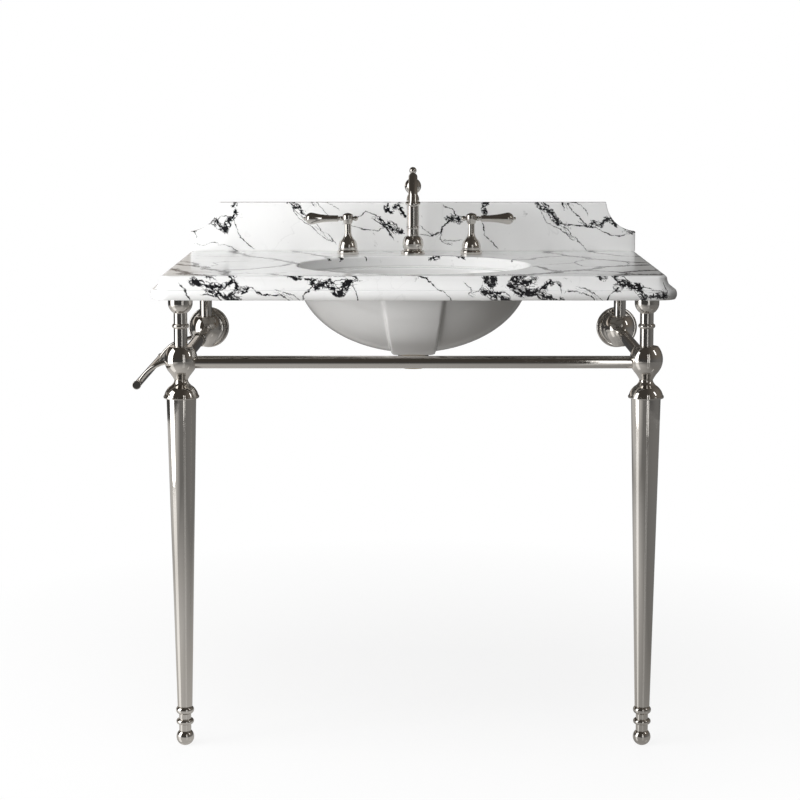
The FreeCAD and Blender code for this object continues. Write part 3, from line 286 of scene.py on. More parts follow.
@dataclass(frozen=True)
class Finish:
    """A finish, whose material is made when it is first asked for."""

    name: str
    slot: str

    def material(self) -> bpy.types.Material:
        """Look the material up, or make it.

        Returns:
            The finish's material.
        """
        made = bpy.data.materials.get(self.name)
        if made is None:
            paint = Paint(self.name)
            self.apply(paint)
            made = paint.material
        return made

    def apply(self, paint: Paint) -> None:
        """Build the finish's nodes."""
        raise NotImplementedError


@dataclass(frozen=True)
class PlatedMetal(Finish):
    """Polished plated metal with faint smears and hand-buffed waviness."""

    colour: Colour = (0.64, 0.62, 0.595)
    roughness: float = 0.05
    smear: float = 0.05

    def apply(self, paint: Paint) -> None:
        """Vary the tint, the polish and the evenness.

        Args:
            paint: The material's graph.
        """
        cloud = paint.noise(9.0, 3.0)
        smudge = (paint.noise(34.0, 4.0, 0.8) * 2.6 - 1.15).held()
        warm = tuple(part * shade for part, shade in zip(self.colour, (0.97, 0.95, 0.91)))
        paint.surface(
            Base_Color=paint.mix(cloud, self.colour, warm),
            Metallic=1.0,
            Roughness=smudge * self.smear + self.roughness,
            Normal=paint.bump(paint.noise(60.0, 2.0), 0.05, 0.0006),
        )


@dataclass(frozen=True)
class VeinedMarble(Finish):
    """Polished white marble with broken black veins; the veins' run comes from the mesh."""

    vein: Colour = (0.012, 0.012, 0.014)
    lean: float = 0.7
    stretch: float = 1.9
    blocks: float = 105.0
    chips: float = 270.0

    def apply(self, paint: Paint) -> None:
        """Draw the veins, the crushed zones, hairlines and clouds.

        Args:
            paint: The material's graph.
        """
        side, reach = paint.field("vein_side"), paint.field("vein_reach")
        width, crush = paint.field("vein_width"), paint.field("vein_crush")
        stir = paint.node("ShaderNodeTexNoise", {}, {"Vector": paint.place, "Scale": 140.0}, "Color")
        bent = paint.mix(0.009, paint.place, stir)
        lie = {"Vector": bent, "Rotation": (0.0, self.lean, 0.0), "Scale": (self.stretch, 1.0, 1.0)}
        broken = paint.node("ShaderNodeMapping", {"vector_type": "TEXTURE"}, lie)
        block, block_seam = self.pieces(paint, broken, self.blocks)
        chip, chip_seam = self.pieces(paint, broken, self.chips)
        wander = (paint.noise(80.0, 3.0) - 0.5) * 8.0 + (paint.noise(420.0, 2.0) - 0.5) * 2.4
        away = abs(side + wander + (chip - 0.5) * (width * 0.9 + 0.5))
        swell = width * (paint.noise(95.0, 2.0) * 3.4 - 0.85)
        line = ((swell - away) * 2.2 + 0.5).held() * (width * 2.0 + 4.5 - reach).held()
        islands = (1.0 - (width * 0.7 - 0.8).held() * (1.0 - (chip * 8.0 - 1.0).held())).held()
        seams = ((paint.noise(130.0, 1.0) * 0.36 - 0.06 - block_seam) * 18.0).held()
        cracks = ((paint.noise(260.0, 1.0) * 0.34 - 0.06 - chip_seam) * 12.0).held()
        splinters = cracks.larger((chip * 9.0 - 6.2).held())
        lace = seams.larger(splinters * (block * 9.0 - 4.4).held())
        zone = ((crush * 2.3 + block * 0.9 + paint.noise(60.0, 2.0) * 1.6 - 1.85) * 2.4).held()
        dark = (line * islands).larger(zone * lace)
        hair = ((0.008 - abs(paint.noise(7.0, 5.0, 0.5) - 0.5)) * 120.0).held()
        faint = hair * (paint.noise(11.0, 1.0) * 3.0 - 1.35).held() * 0.22
        cloud = (paint.noise(5.0, 4.0, 0.4) * 2.4 - 0.85).held()
        white = paint.mix(cloud, (0.93, 0.93, 0.925), (0.86, 0.86, 0.855))
        halo = ((width * 1.2 + 3.0 - reach) * 0.2).held() * 0.1 + faint
        stone = paint.mix(halo.held(), white, (0.36, 0.36, 0.36))
        paint.surface(
            Base_Color=paint.mix(dark, stone, self.vein),
            Roughness=dark * 0.06 + paint.noise(25.0, 3.0) * 0.06 + 0.12,
            Specular_IOR_Level=0.42,
        )

    @staticmethod
    def pieces(paint: Paint, place: Value, scale: float) -> tuple[Value, Value]:
        """Break the stone into pieces.

        Args:
            paint: The material's graph.
            place: The coordinates.
            scale: How many pieces there are in a metre.

        Returns:
            A number drawn for each piece, and the distance to its border.
        """
        inputs = {"Vector": place, "Scale": scale}
        middle = paint.node("ShaderNodeTexVoronoi", {}, inputs, "Position")
        border = paint.node("ShaderNodeTexVoronoi", {"feature": "DISTANCE_TO_EDGE"}, inputs)
        return paint.node("ShaderNodeTexWhiteNoise", {}, {"Vector": middle}), border


@dataclass(frozen=True)
class GlazedChina(Finish):
    """White glazed china with the slight unevenness of a fired glaze."""

    def apply(self, paint: Paint) -> None:
        """Vary the white and let the glaze ripple.

        Args:
            paint: The material's graph.
        """
        cloud = paint.noise(7.0, 3.0)
        paint.surface(
            Base_Color=paint.mix(cloud, (0.87, 0.868, 0.86), (0.82, 0.82, 0.812)),
            Roughness=paint.noise(18.0, 2.0) * 0.05 + 0.05,
            Coat_Weight=0.4,
            Coat_Roughness=0.03,
            Normal=paint.bump(paint.noise(28.0, 2.0), 0.06, 0.0008),
        )


@dataclass(frozen=True)
class DullMetal(Finish):
    """Bare or zinc-coated metal that is out of sight, with spangle and stains."""

    colour: Colour = (0.6, 0.6, 0.6)
    stain: Colour = (0.4, 0.4, 0.4)
    roughness: float = 0.35

    def apply(self, paint: Paint) -> None:
        """Blend stains into the metal and roughen them.

        Args:
            paint: The material's graph.
        """
        stains = (paint.noise(70.0, 4.0, 0.6) * 2.4 - 0.7).held()
        paint.surface(
            Base_Color=paint.mix(stains, self.colour, self.stain),
            Metallic=1.0,
            Roughness=stains * 0.2 + self.roughness,
            Normal=paint.bump(paint.noise(500.0, 2.0), 0.15, 0.0003),
        )


@dataclass(frozen=True)
class SoftSeal(Finish):
    """Rubber or sealant with a fine matt grain."""

    colour: Colour = (0.03, 0.03, 0.032)
    bloom: Colour = (0.07, 0.07, 0.07)

    def apply(self, paint: Paint) -> None:
        """Add a pale bloom and a fine grain.

        Args:
            paint: The material's graph.
        """
        bloom = (paint.noise(90.0, 3.0) * 2.0 - 0.6).held()
        paint.surface(
            Base_Color=paint.mix(bloom, self.colour, self.bloom),
            Roughness=bloom * 0.25 + 0.5,
            Normal=paint.bump(paint.noise(900.0, 2.0), 0.2, 0.0002),
        )


NICKEL = PlatedMetal("polished_nickel", "nickel")
MARBLE = VeinedMarble("veined_marble", "marble")
CHINA = GlazedChina("glazed_china", "china")
BRASS = DullMetal("valve_brass", "raw_brass", (0.75, 0.55, 0.27), (0.45, 0.30, 0.14), 0.3)
ZINC = DullMetal("zinc_coat", "zinc_steel", (0.62, 0.62, 0.60), (0.42, 0.42, 0.42), 0.32)
RUBBER = SoftSeal("washer_rubber", "black_rubber")
SEALANT = SoftSeal("clear_sealant", "silicone", (0.88, 0.88, 0.87), (0.80, 0.80, 0.79))


# Shapes


def drawn(points: Outline, closed: bool = True) -> np.ndarray:
    """Sample an outline of straight and round edges.

    Args:
        points: Each is (x, y) or (x, y, turn), where turn bends the edge that leaves it.
        closed: Whether the last point goes back to the first.

    Returns:
        The sampled points, one row each.
    """
    rows: list[np.ndarray] = []
    count = len(points)
    for index, point in enumerate(points):
        first = np.array(point[:2], float)
        rows.append(first)
        if len(point) < 3 or (not closed and index == count - 1):
            continue
        second = np.array(points[(index + 1) % count][:2], float)
        chord = second - first
        offset = math.copysign(0.5 / math.tan(math.radians(abs(point[2])) / 2), point[2])
        centre = (first + second) / 2 + np.array((-chord[1], chord[0])) * offset
        steps = max(3, math.ceil(abs(point[2]) / 7))
        arm = first - centre
        for step in range(1, steps):
            angle = math.radians(point[2]) * step / steps
            turn = np.array(((math.cos(angle), -math.sin(angle)), (math.sin(angle), math.cos(angle))))
            rows.append(centre + turn @ arm)
    return np.array(rows)


def eased(points: np.ndarray, radius: float, closed: bool = True) -> np.ndarray:
    """Round the sharp corners of a sampled outline, with points beside each to keep the flats flat.

    Args:
        points: The sampled outline.
        radius: How far from a corner the rounding starts, where there is room.
        closed: Whether the outline is closed; an open one keeps its ends.

    Returns:
        The outline with its corners rounded.
    """
    rows: list[np.ndarray] = []
    count = len(points)
    for index, point in enumerate(points):
        before, after = points[index - 1], points[(index + 1) % count]
        to_before, to_after = before - point, after - point
        room_before, room_after = np.linalg.norm(to_before), np.linalg.norm(to_after)
        end = not closed and index in (0, count - 1)
        if end or min(room_before, room_after) < 1e-6 or abs(point[0]) < 1e-6:
            rows.append(point)
            continue
        one, two = to_before / room_before, to_after / room_after
        if np.dot(one, two) < -0.9:
            rows.append(point)
            continue
        reach = min(radius, room_before * 0.4, room_after * 0.4)
        if room_before > 5 * reach:
            rows.append(point + one * reach * 2.2)
        for share in (0.0, 0.25, 0.5, 0.75, 1.0):
            rows.append(point + one * reach * (1 - share) ** 2 + two * reach * share**2)
        if room_after > 5 * reach:
            rows.append(point + two * reach * 2.2)
    return np.array(rows)


@dataclass
class Shape:
    """A mesh in the making: points in mm and faces that look outwards."""

    points: np.ndarray
    faces: list[tuple[int, ...]]

    def __add__(self, other: Shape) -> Shape:
        """Join another shape on.

        Args:
            other: The other shape.

        Returns:
            Both shapes as one.
        """
        shift = len(self.points)
        moved = [tuple(corner + shift for corner in face) for face in other.faces]
        return Shape(np.vstack([self.points, other.points]), self.faces + moved)

    def mesh(self, name: str) -> bpy.types.Mesh:
        """Turn the shape into a smooth mesh.

        Args:
            name: The mesh's name.

        Returns:
            The mesh, in metres.
        """
        made = bpy.data.meshes.new(name)
        made.from_pydata((self.points * MM).tolist(), [], self.faces)
        made.shade_smooth()
        made.update()
        return made


def oval(across: float, along: float, level: float) -> np.ndarray:
    """Lay a level oval ring round the bowl's middle.

    Args:
        across: Half its width.
        along: Half its depth.
        level: Its height.

    Returns:
        Its points, anticlockwise from above.
    """
    angles = np.linspace(0.0, math.tau, OVAL_SIDES, endpoint=False)
    levels = np.full(OVAL_SIDES, level)
    return np.column_stack([across * np.cos(angles), BOWL_ROW + along * np.sin(angles), levels])


def lofted(rings: Sequence[np.ndarray]) -> Shape:
    """Join rings of points, and the last ring to the first, into one closed skin.

    Args:
        rings: Anticlockwise rings with as many points each, up the inside and down the outside.

    Returns:
        The shape.
    """
    count, around = len(rings), len(rings[0])
    here = np.arange(count * around).reshape(count, around)
    after = np.roll(here, -1, axis=0)
    faces = np.stack([here, after, np.roll(after, -1, axis=1), np.roll(here, -1, axis=1)], axis=2)
    return Shape(np.vstack(rings), faces.reshape(-1, 4).tolist())


def turned(
    points: Outline,
    place: Sequence[float],
    turn: tuple[str, float] = Way.UP.value,
    ease: float = 0.5,
    sides: int = 72,
) -> Shape:
    """Turn a closed half profile about its own axis.

    Args:
        points: The profile as (radius, height), anticlockwise, with the turn of round edges.
        place: Where the profile's origin goes.
        turn: The axis and angle that point it its way.
        ease: How far its corners are rounded.
        sides: How many faces go round it.

    Returns:
        The turned shape.
    """
    profile = eased(drawn(points), ease)
    angles = np.linspace(0.0, math.tau, sides, endpoint=False)
    rows: list[np.ndarray] = []
    starts: list[tuple[int, bool]] = []
    total = 0
    for radius, level in profile:
        pole = radius < 1e-6
        ring = np.array([[0.0, 0.0, level]])
        if not pole:
            ring = np.column_stack([radius * np.cos(angles), radius * np.sin(angles), np.full(sides, level)])
        rows.append(ring)
        starts.append((total, pole))
        total += len(ring)
    faces: list[tuple[int, ...]] = []
    for (one, one_pole), (two, two_pole) in zip(starts, starts[1:] + starts[:1]):
        for step in range(sides):
            after = (step + 1) % sides
            if one_pole and two_pole:
                break
            if one_pole:
                faces.append((one, two + after, two + step))
            elif two_pole:
                faces.append((one + step, one + after, two))
            else:
                faces.append((one + step, one + after, two + after, two + step))
    axis, angle = turn
    matrix = np.array(Matrix.Rotation(math.radians(angle), 3, axis))
    return Shape(np.vstack(rows) @ matrix.T + np.array(place, float), faces)


def knob(radius: float, neck: float, tip: float) -> tuple[float, float, float]:
    """Measure a ball that is cut flat below and above.

    Args:
        radius: The ball's radius.
        neck: The radius of the cut below.
        tip: The radius of the cut above.

    Returns:
        How far below and above its middle the cuts are, and how far its edge turns between them.
    """
    turn = 180 - math.degrees(math.asin(neck / radius) + math.asin(tip / radius))
    return math.sqrt(radius**2 - neck**2), math.sqrt(radius**2 - tip**2), turn


@dataclass(frozen=True)
class Arm:
    """An arm that leaves its socket straight and then bends down, tilted as a whole."""

    straight: float
    bend: float
    sweep: float
    tilt: float
    tenon: float = 0.0

    def line(self, socket: float) -> np.ndarray:
        """Draw the arm's middle line.

        Args:
            socket: How far from the origin it starts.

        Returns:
            Its points, as the way along and the height.
        """
        sweep = math.radians(self.sweep)
        out = self.straight + self.bend * math.sin(sweep)
        down = self.bend * (1 - math.cos(sweep))
        points = [(-socket, 0.0), (-self.straight, 0.0, self.sweep), (-out, -down)]
        if self.tenon:
            points.append((-out - self.tenon * math.cos(sweep), -down - self.tenon * math.sin(sweep)))
        turn = np.array(Matrix.Rotation(math.radians(self.tilt), 2))
        return drawn(points, closed=False) @ turn.T


class BentTube:
    """Tubes that follow a path, made by one tree of geometry nodes."""

    def __init__(self) -> None:
        """Build the tree with its named inputs."""
        self.tree = bpy.data.node_groups.new("bent_tube", "GeometryNodeTree")
        face = self.tree.interface
        self.keys: dict[str, str] = {}
        kinds = {"Path": "Geometry", "Radius": "Float", "Sides": "Int", "Finish": "Material"}
        for name, kind in kinds.items():
            socket = face.new_socket(name, in_out="INPUT", socket_type=f"NodeSocket{kind}")
            self.keys[name] = socket.identifier
        face.new_socket("Tube", in_out="OUTPUT", socket_type="NodeSocketGeometry")
        graph = Graph(self.tree)
        given = self.tree.nodes.new("NodeGroupInput")
        path, radius, sides, finish = (Value(graph, socket) for socket in given.outputs[:4])
        line = graph.node("GeometryNodeMeshToCurve", {}, {"Mesh": path})
        ring = graph.node("GeometryNodeCurvePrimitiveCircle", {}, {"Resolution": sides, "Radius": radius})
        inputs = {"Curve": line, "Profile Curve": ring, "Fill Caps": True}
        tube = graph.node("GeometryNodeCurveToMesh", {}, inputs)
        smooth = graph.node("GeometryNodeSetShadeSmooth", {}, {"Geometry": tube})
        real = graph.node("GeometryNodeRealizeInstances", {}, {"Geometry": smooth})
        dressed = graph.node("GeometryNodeSetMaterial", {}, {"Geometry": real, "Material": finish})
        graph.node("NodeGroupOutput", {}, {0: dressed})

    def mesh(
        self, name: str, path: np.ndarray, radius: float, sides: int = 64, finish: Finish = NICKEL
    ) -> bpy.types.Mesh:
        """Sweep a circle along a path.

        Args:
            name: The mesh's name.
            path: The path's points in mm.
            radius: The tube's radius in mm.
            sides: How many faces go round it.
            finish: Its finish.

        Returns:
            The tube as a plain mesh.
        """
        line = bpy.data.meshes.new(f"{name}_path")
        line.from_pydata((path * MM).tolist(), [(step, step + 1) for step in range(len(path) - 1)], [])
        carrier = bpy.data.objects.new(f"{name}_carrier", line)
        bpy.context.scene.collection.objects.link(carrier)
        modifier = carrier.modifiers.new("tube", "NODES")
        modifier.node_group = self.tree
        for key, given in (("Radius", radius * MM), ("Sides", sides), ("Finish", finish.material())):
            modifier[self.keys[key]] = given
        made = bpy.data.meshes.new_from_object(carrier.evaluated_get(bpy.context.evaluated_depsgraph_get()))
        bpy.data.objects.remove(carrier)
        bpy.data.meshes.remove(line)
        made.name = name
        return made


class SubAssembly:
    """A group of pieces that stand for nodes of the frame."""

    body: str = "washstand"

    def fit(
        self, node: str, made: Shape | bpy.types.Mesh, finish: Finish = NICKEL, body: str | None = None
    ) -> None:
        """Put a piece where the frame has its node.

        Args:
            node: The node that the piece stands for.
            made: The piece's shape, or its finished mesh.
            finish: Its finish.
            body: The body that it moves with, if not the sub-assembly's own.
        """
        mesh = made.mesh(node) if isinstance(made, Shape) else made
        if not mesh.materials:
            mesh.materials.append(finish.material())
        piece = bpy.data.objects.new(f"{node}_piece", mesh)
        bpy.context.scene.collection.objects.link(piece)
        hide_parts(node)
        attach(piece, body or self.body)
        log.info("%s: %d faces in %s", piece.name, len(mesh.polygons), finish.name)


# Marble


@dataclass(frozen=True)
class Vein:
    """A vein: half its width, and the points that it runs through one after the other."""

    half: float
    run: tuple[float, ...]

    def segments(self) -> np.ndarray:
        """Return each stretch as (x, y, next x, next y)."""
        points = np.array(self.run, float).reshape(-1, 2)
        return np.hstack([points[:-1], points[1:]])


# Veins on the backsplash, in X and Z
SPLASH_VEINS = (
    Vein(2.2, (-353, 119, -355, 112, -351, 105, -353, 96, -357, 90)),
    Vein(0.9, (-357, 90, -352, 73, -348, 61, -342, 51, -336, 46, -328, 37, -319, 30)),
    Vein(0.7, (-357, 90, -371, 92, -379, 92, -389, 83, -399, 80, -411, 74, -421, 68, -434, 63)),
    Vein(2.6, (-394, 82, -387, 77, -378, 69, -373, 63, -369, 74, -366, 83, -362, 86)),
    Vein(1.0, (-440, 61, -435, 63, -431, 54)),
    Vein(0.5, (-431, 37, -417, 34, -398, 41, -391, 40)),
    Vein(0.6, (-382, 35, -371, 35, -362, 32, -349, 23)),
    Vein(2.2, (-246, 120, -237, 113, -227, 106, -218, 99, -211, 90)),
    Vein(1.2, (-234, 119, -225, 115, -221, 105)),
    Vein(0.5, (-240, 109, -234, 99, -224, 87, -210, 77, -195, 66, -184, 56, -171, 44, -161, 41)),
    Vein(0.9, (-188, 73, -178, 61, -168, 56, -161, 47, -155, 40)),
    Vein(1.6, (-202, 120, -198, 115)),
    Vein(0.6, (-192, 120, -181, 110, -174, 100, -166, 94)),
    Vein(0.4, (-172, 120, -158, 115, -148, 106)),
    Vein(0.8, (-112, 89, -103, 94, -92, 102, -77, 96, -63, 90, -54, 79)),
    Vein(1.2, (-77, 86, -66, 80, -60, 74, -51, 71)),
    Vein(2.6, (-63, 87, -53, 77, -46, 71, -37, 67, -24, 61)),
    Vein(1.8, (-51, 67, -46, 58, -41, 51)),
    Vein(1.8, (-41, 80, -34, 74, -28, 66)),
    Vein(0.6, (-123, 74, -109, 69, -92, 65, -69, 63, -57, 69)),
    Vein(2.6, (-50, 119, -51, 110, -50, 103, -43, 102)),
    Vein(2.4, (-37, 109, -26, 115, -23, 106, -17, 96)),
    Vein(1.0, (65, 112, 78, 107, 82, 100, 84, 94)),
    Vein(3.0, (71, 88, 82, 88, 91, 84)),
    Vein(1.4, (76, 84, 68, 77, 59, 71, 58, 60, 50, 59, 39, 53)),
    Vein(0.7, (39, 53, 18, 55)),
    Vein(0.6, (17, 71, 27, 62, 39, 53)),
    Vein(0.6, (58, 60, 53, 46, 64, 39, 74, 36)),
    Vein(0.5, (61, 45, 82, 43, 96, 45)),
    Vein(2.0, (149, 120, 140, 115, 141, 106, 143, 98)),
    Vein(0.9, (139, 77, 143, 63, 142, 55, 149, 48, 158, 39, 168, 30)),
    Vein(2.4, (247, 120, 254, 109, 265, 107, 274, 100, 282, 88, 290, 78)),
    Vein(1.8, (261, 118, 270, 112, 267, 104)),
    Vein(0.8, (254, 106, 258, 94, 268, 78, 283, 71, 293, 68, 305, 57, 314, 48, 320, 45)),
    Vein(1.5, (290, 78, 314, 75, 332, 74, 351, 71, 363, 71)),
    Vein(0.9, (302, 71, 314, 57, 326, 45, 338, 33, 344, 25)),
    Vein(1.8, (296, 118, 299, 110)),
    Vein(1.3, (308, 116, 317, 103, 332, 88, 347, 74)),
    Vein(0.7, (308, 118, 323, 120, 335, 113, 346, 103, 347, 97)),
    Vein(2.4, (352, 77, 360, 80, 366, 78, 372, 75, 378, 83, 393, 86)),
    Vein(2.0, (393, 88, 402, 77, 415, 71, 430, 65, 441, 60)),
    Vein(1.0, (351, 71, 366, 69, 378, 60, 393, 55, 412, 53, 427, 57, 441, 60)),
)

# Veins on the front edge of the top, in X and the way down from the upper arris
EDGE_VEINS = (
    Vein(1.4, (-404, 16, -398, 22, -394, 29, -389, 37)),
    Vein(3.0, (-383, 9, -376, 11, -364, 14, -353, 22, -341, 26, -329, 31, -317, 37, -304, 41)),
    Vein(2.2, (-353, 16, -335, 20, -323, 16, -317, 8, -311, 10, -306, 20, -300, 23, -291, 22)),
    Vein(2.2, (-314, 31, -303, 26, -291, 22)),
    Vein(1.2, (-364, 30, -353, 30, -338, 35, -332, 41)),
    Vein(1.3, (-291, 22, -282, 20, -273, 26, -261, 31, -247, 32, -229, 32, -220, 38, -216, 41)),
    Vein(0.6, (-238, 23, -220, 29, -209, 32, -197, 40)),
    Vein(1.4, (-191, 39, -188, 29, -181, 23, -175, 16)),
    Vein(3.0, (-175, 10, -170, 17, -159, 14, -144, 11, -141, 19, -132, 26, -126, 27, -122, 19, -112, 13)),
    Vein(1.2, (-188, 4, -175, 8, -168, 5)),
    Vein(2.4, (-209, 1, -201, 3)),
    Vein(0.8, (-138, 9, -118, 6, -100, 8, -94, 8)),
    Vein(1.4, (-103, 0, -97, 5)),
    Vein(0.8, (-112, 13, -103, 20, -98, 30, -97, 41)),
    Vein(1.8, (11, 1, 23, 3, 28, 9)),
    Vein(0.8, (28, 9, 34, 15, 41, 21, 55, 28, 63, 36, 65, 41)),
    Vein(0.8, (90, 13, 96, 19, 101, 24, 96, 30, 102, 33)),
    Vein(0.5, (102, 27, 113, 25, 119, 15)),
    Vein(2.0, (126, 11, 134, 16, 140, 10, 139, 2)),
    Vein(2.4, (122, 25, 131, 28, 137, 33, 149, 38, 164, 41)),
    Vein(1.4, (134, 21, 143, 28, 155, 25, 164, 32)),
    Vein(2.0, (171, 9, 183, 9, 195, 13, 204, 8, 212, 2)),
    Vein(2.4, (167, 16, 183, 22, 198, 28, 212, 25, 228, 18, 239, 11)),
    Vein(2.4, (180, 27, 195, 33, 213, 30, 228, 35, 256, 41)),
    Vein(1.8, (239, 11, 249, 10, 256, 18, 256, 22)),
    Vein(1.2, (268, 25, 280, 27, 298, 29, 307, 32, 312, 39)),
    Vein(0.6, (286, 18, 307, 24, 319, 33, 325, 40)),
    Vein(1.3, (335, 41, 339, 30, 347, 25, 354, 21)),
    Vein(3.0, (354, 19, 362, 13, 371, 15, 380, 19, 391, 21)),
    Vein(2.4, (324, 2, 330, 3)),
    Vein(1.6, (345, 1, 354, 9, 360, 13)),
    Vein(0.7, (362, 1, 371, 6, 374, 11)),
    Vein(0.8, (380, 15, 395, 18, 411, 21, 420, 24, 433, 27)),
    Vein(2.4, (391, 21, 394, 30, 401, 38, 411, 35, 423, 32, 438, 30, 444, 28)),
    Vein(1.6, (438, 11, 442, 18, 441, 28)),
)

# Veins on the flat of the top, its cut-out and its side edges, unrolled in X and Y
FLAT_VEINS = (
    Vein(4.2, (-352, -538, -372, -520, -392, -505, -404, -470, -425, -430, -439, -395)),
    Vein(4.8, (-412, -500, -396, -509, -372, -520)),
    Vein(3.8, (
        -318, -538, -335, -500, -330, -470, -352, -430,
        -372, -405, -380, -370, -405, -340, -439, -310,
    )),
    Vein(2.4, (-352, -430, -310, -420, -285, -400, -262, -372, -240, -345, -226, -300, -212, -296)),
    Vein(3.2, (
        -360, -20, -350, -60, -330, -95, -322, -130,
        -295, -165, -270, -190, -252, -230, -230, -262, -214, -300,
    )),
    Vein(1.8, (-322, -130, -360, -145, -395, -138, -439, -118)),
    Vein(1.6, (-404, -470, -370, -462, -330, -470)),
    Vein(1.4, (-380, -370, -360, -320, -372, -280, -352, -255, -300, -240, -252, -230)),
    Vein(2.6, (-405, -340, -400, -300, -420, -262, -439, -245)),
    Vein(2.6, (-252, -500, -236, -520, -214, -538)),
    Vein(1.4, (-335, -500, -290, -492, -252, -500, -226, -470)),
    Vein(2.2, (-240, -20, -225, -50, -200, -80, -190, -110, -162, -152)),
    Vein(1.6, (-350, -60, -300, -72, -262, -66, -225, -50)),
    Vein(1.8, (-60, -20, -40, -60, -10, -75, 30, -110, 50, -128)),
    Vein(1.2, (-200, -80, -150, -70, -100, -84, -40, -60)),
    Vein(1.4, (140, -20, 120, -60, 96, -95, 92, -140)),
    Vein(1.8, (-209, -538, -180, -525, -150, -530, -103, -538)),
    Vein(1.8, (11, -538, -20, -525, -60, -518, -90, -524)),
    Vein(2.6, (126, -538, 150, -520, 184, -512, 215, -500)),
    Vein(4.2, (
        180, -538, 215, -500, 250, -480, 262, -450,
        300, -430, 330, -400, 345, -360, 390, -340, 440, -322,
    )),
    Vein(2.4, (262, -450, 240, -420, 236, -380, 224, -350)),
    Vein(4.2, (350, -538, 378, -505, 372, -470, 402, -440, 440, -425)),
    Vein(2.0, (300, -430, 350, -450, 372, -470)),
    Vein(3.8, (378, -505, 410, -512, 440, -500)),
    Vein(1.4, (250, -480, 300, -495, 340, -515, 378, -505)),
    Vein(3.2, (
        270, -20, 262, -60, 290, -90, 300, -130,
        330, -160, 340, -200, 375, -225, 400, -262, 440, -285,
    )),
    Vein(2.2, (300, -130, 260, -150, 236, -175, 226, -210, 200, -204)),
    Vein(1.6, (340, -200, 310, -240, 300, -280, 262, -310, 226, -330)),
    Vein(2.0, (440, -150, 400, -130, 384, -100, 360, -60, 352, -20)),
    Vein(1.4, (330, -160, 372, -150, 400, -130)),
    Vein(1.4, (345, -360, 310, -350, 300, -280)),
    Vein(1.2, (390, -340, 400, -300, 400, -262)),
    Vein(2.0, (-159, -190, -164, -178, -168, -166)),
    Vein(2.0, (-137, -175, -140, -160)),
    Vein(1.8, (-90, -150, -98, -136)),
    Vein(3.6, (38, -136, 54, -128, 70, -126)),
    Vein(2.2, (95, -152, 84, -138)),
    Vein(2.2, (186, -222, 196, -206)),
    Vein(4.0, (-439, -395, -450, -388, -456, -372, -470, -366, -482, -352)),
    Vein(3.4, (-439, -310, -452, -300, -460, -282, -482, -274)),
    Vein(1.8, (-456, -372, -462, -345, -458, -322, -452, -300)),
    Vein(2.4, (-439, -245, -449, -238, -461, -240, -482, -228)),
    Vein(1.6, (-439, -118, -455, -110, -466, -92, -482, -84)),
    Vein(4.0, (440, -425, 452, -416, 458, -398, 470, -394, 482, -380)),
    Vein(3.8, (440, -322, 450, -330, 462, -328, 482, -340)),
    Vein(3.0, (440, -285, 455, -276, 468, -280, 482, -268)),
    Vein(1.6, (458, -398, 455, -372, 462, -350, 462, -328)),
    Vein(1.8, (440, -150, 456, -144, 464, -126, 482, -118)),
)


def laid_on_edge(veins: Iterable[Vein], arris: float) -> list[Vein]:
    """Unroll the veins of the front edge into the plane of the top.

    Args:
        veins: The edge's veins.
        arris: The Y of the upper arris, beyond which they lie.

    Returns:
        The veins in that plane.
    """
    flat = []
    for vein in veins:
        run = np.array(vein.run, float).reshape(-1, 2)
        run[:, 1] = arris - run[:, 1]
        flat.append(Vein(vein.half, tuple(run.ravel())))
    return flat


def vein_fields(places: np.ndarray, veins: Sequence[Vein]) -> dict[str, np.ndarray]:
    """Measure how each point of a surface lies to the veins.

    Args:
        places: The points, unrolled into one plane.
        veins: The veins in that plane.

    Returns:
        The side and distance of the nearest vein, half its width, and how crushed the stone is there.
    """
    stretches = np.vstack([vein.segments() for vein in veins])
    halves = np.concatenate([np.full(len(vein.run) // 2 - 1, vein.half) for vein in veins])
    start, along = stretches[:, :2], stretches[:, 2:] - stretches[:, :2]
    squared = (along**2).sum(axis=1)
    fields = {name: np.empty(len(places)) for name in ("vein_side", "vein_reach", "vein_width", "vein_crush")}
    for first in range(0, len(places), 4000):
        part = slice(first, first + 4000)
        to_point = places[part, None, :] - start[None]
        share = np.clip((to_point * along).sum(axis=2) / squared, 0.0, 1.0)
        away = np.linalg.norm(to_point - share[..., None] * along, axis=2)
        nearest = np.argmin(away - halves * 0.8, axis=1)
        rows = np.arange(len(nearest))
        offset = to_point[rows, nearest]
        heading = along[nearest]
        hand = np.sign(heading[:, 0] * offset[:, 1] - heading[:, 1] * offset[:, 0])
        fields["vein_side"][part] = np.where(hand == 0, 1.0, hand) * away[rows, nearest]
        fields["vein_reach"][part] = away[rows, nearest]
        fields["vein_width"][part] = halves[nearest]
        crushed = np.where(halves > 1.9, 1.0 - away / (halves * 3.6), 0.0)
        fields["vein_crush"][part] = np.clip(crushed.max(axis=1), 0.0, 1.0)
    return fields


def add_fields(mesh: bpy.types.Mesh, fields: dict[str, np.ndarray]) -> None:
    """Store measured values on a mesh's points.

    Args:
        mesh: The mesh.
        fields: The values by name, one for each point.
    """
    for name, numbers in fields.items():
        made = mesh.attributes.new(name, "FLOAT", "POINT")
        made.data.foreach_set("value", numbers.astype(np.float32))


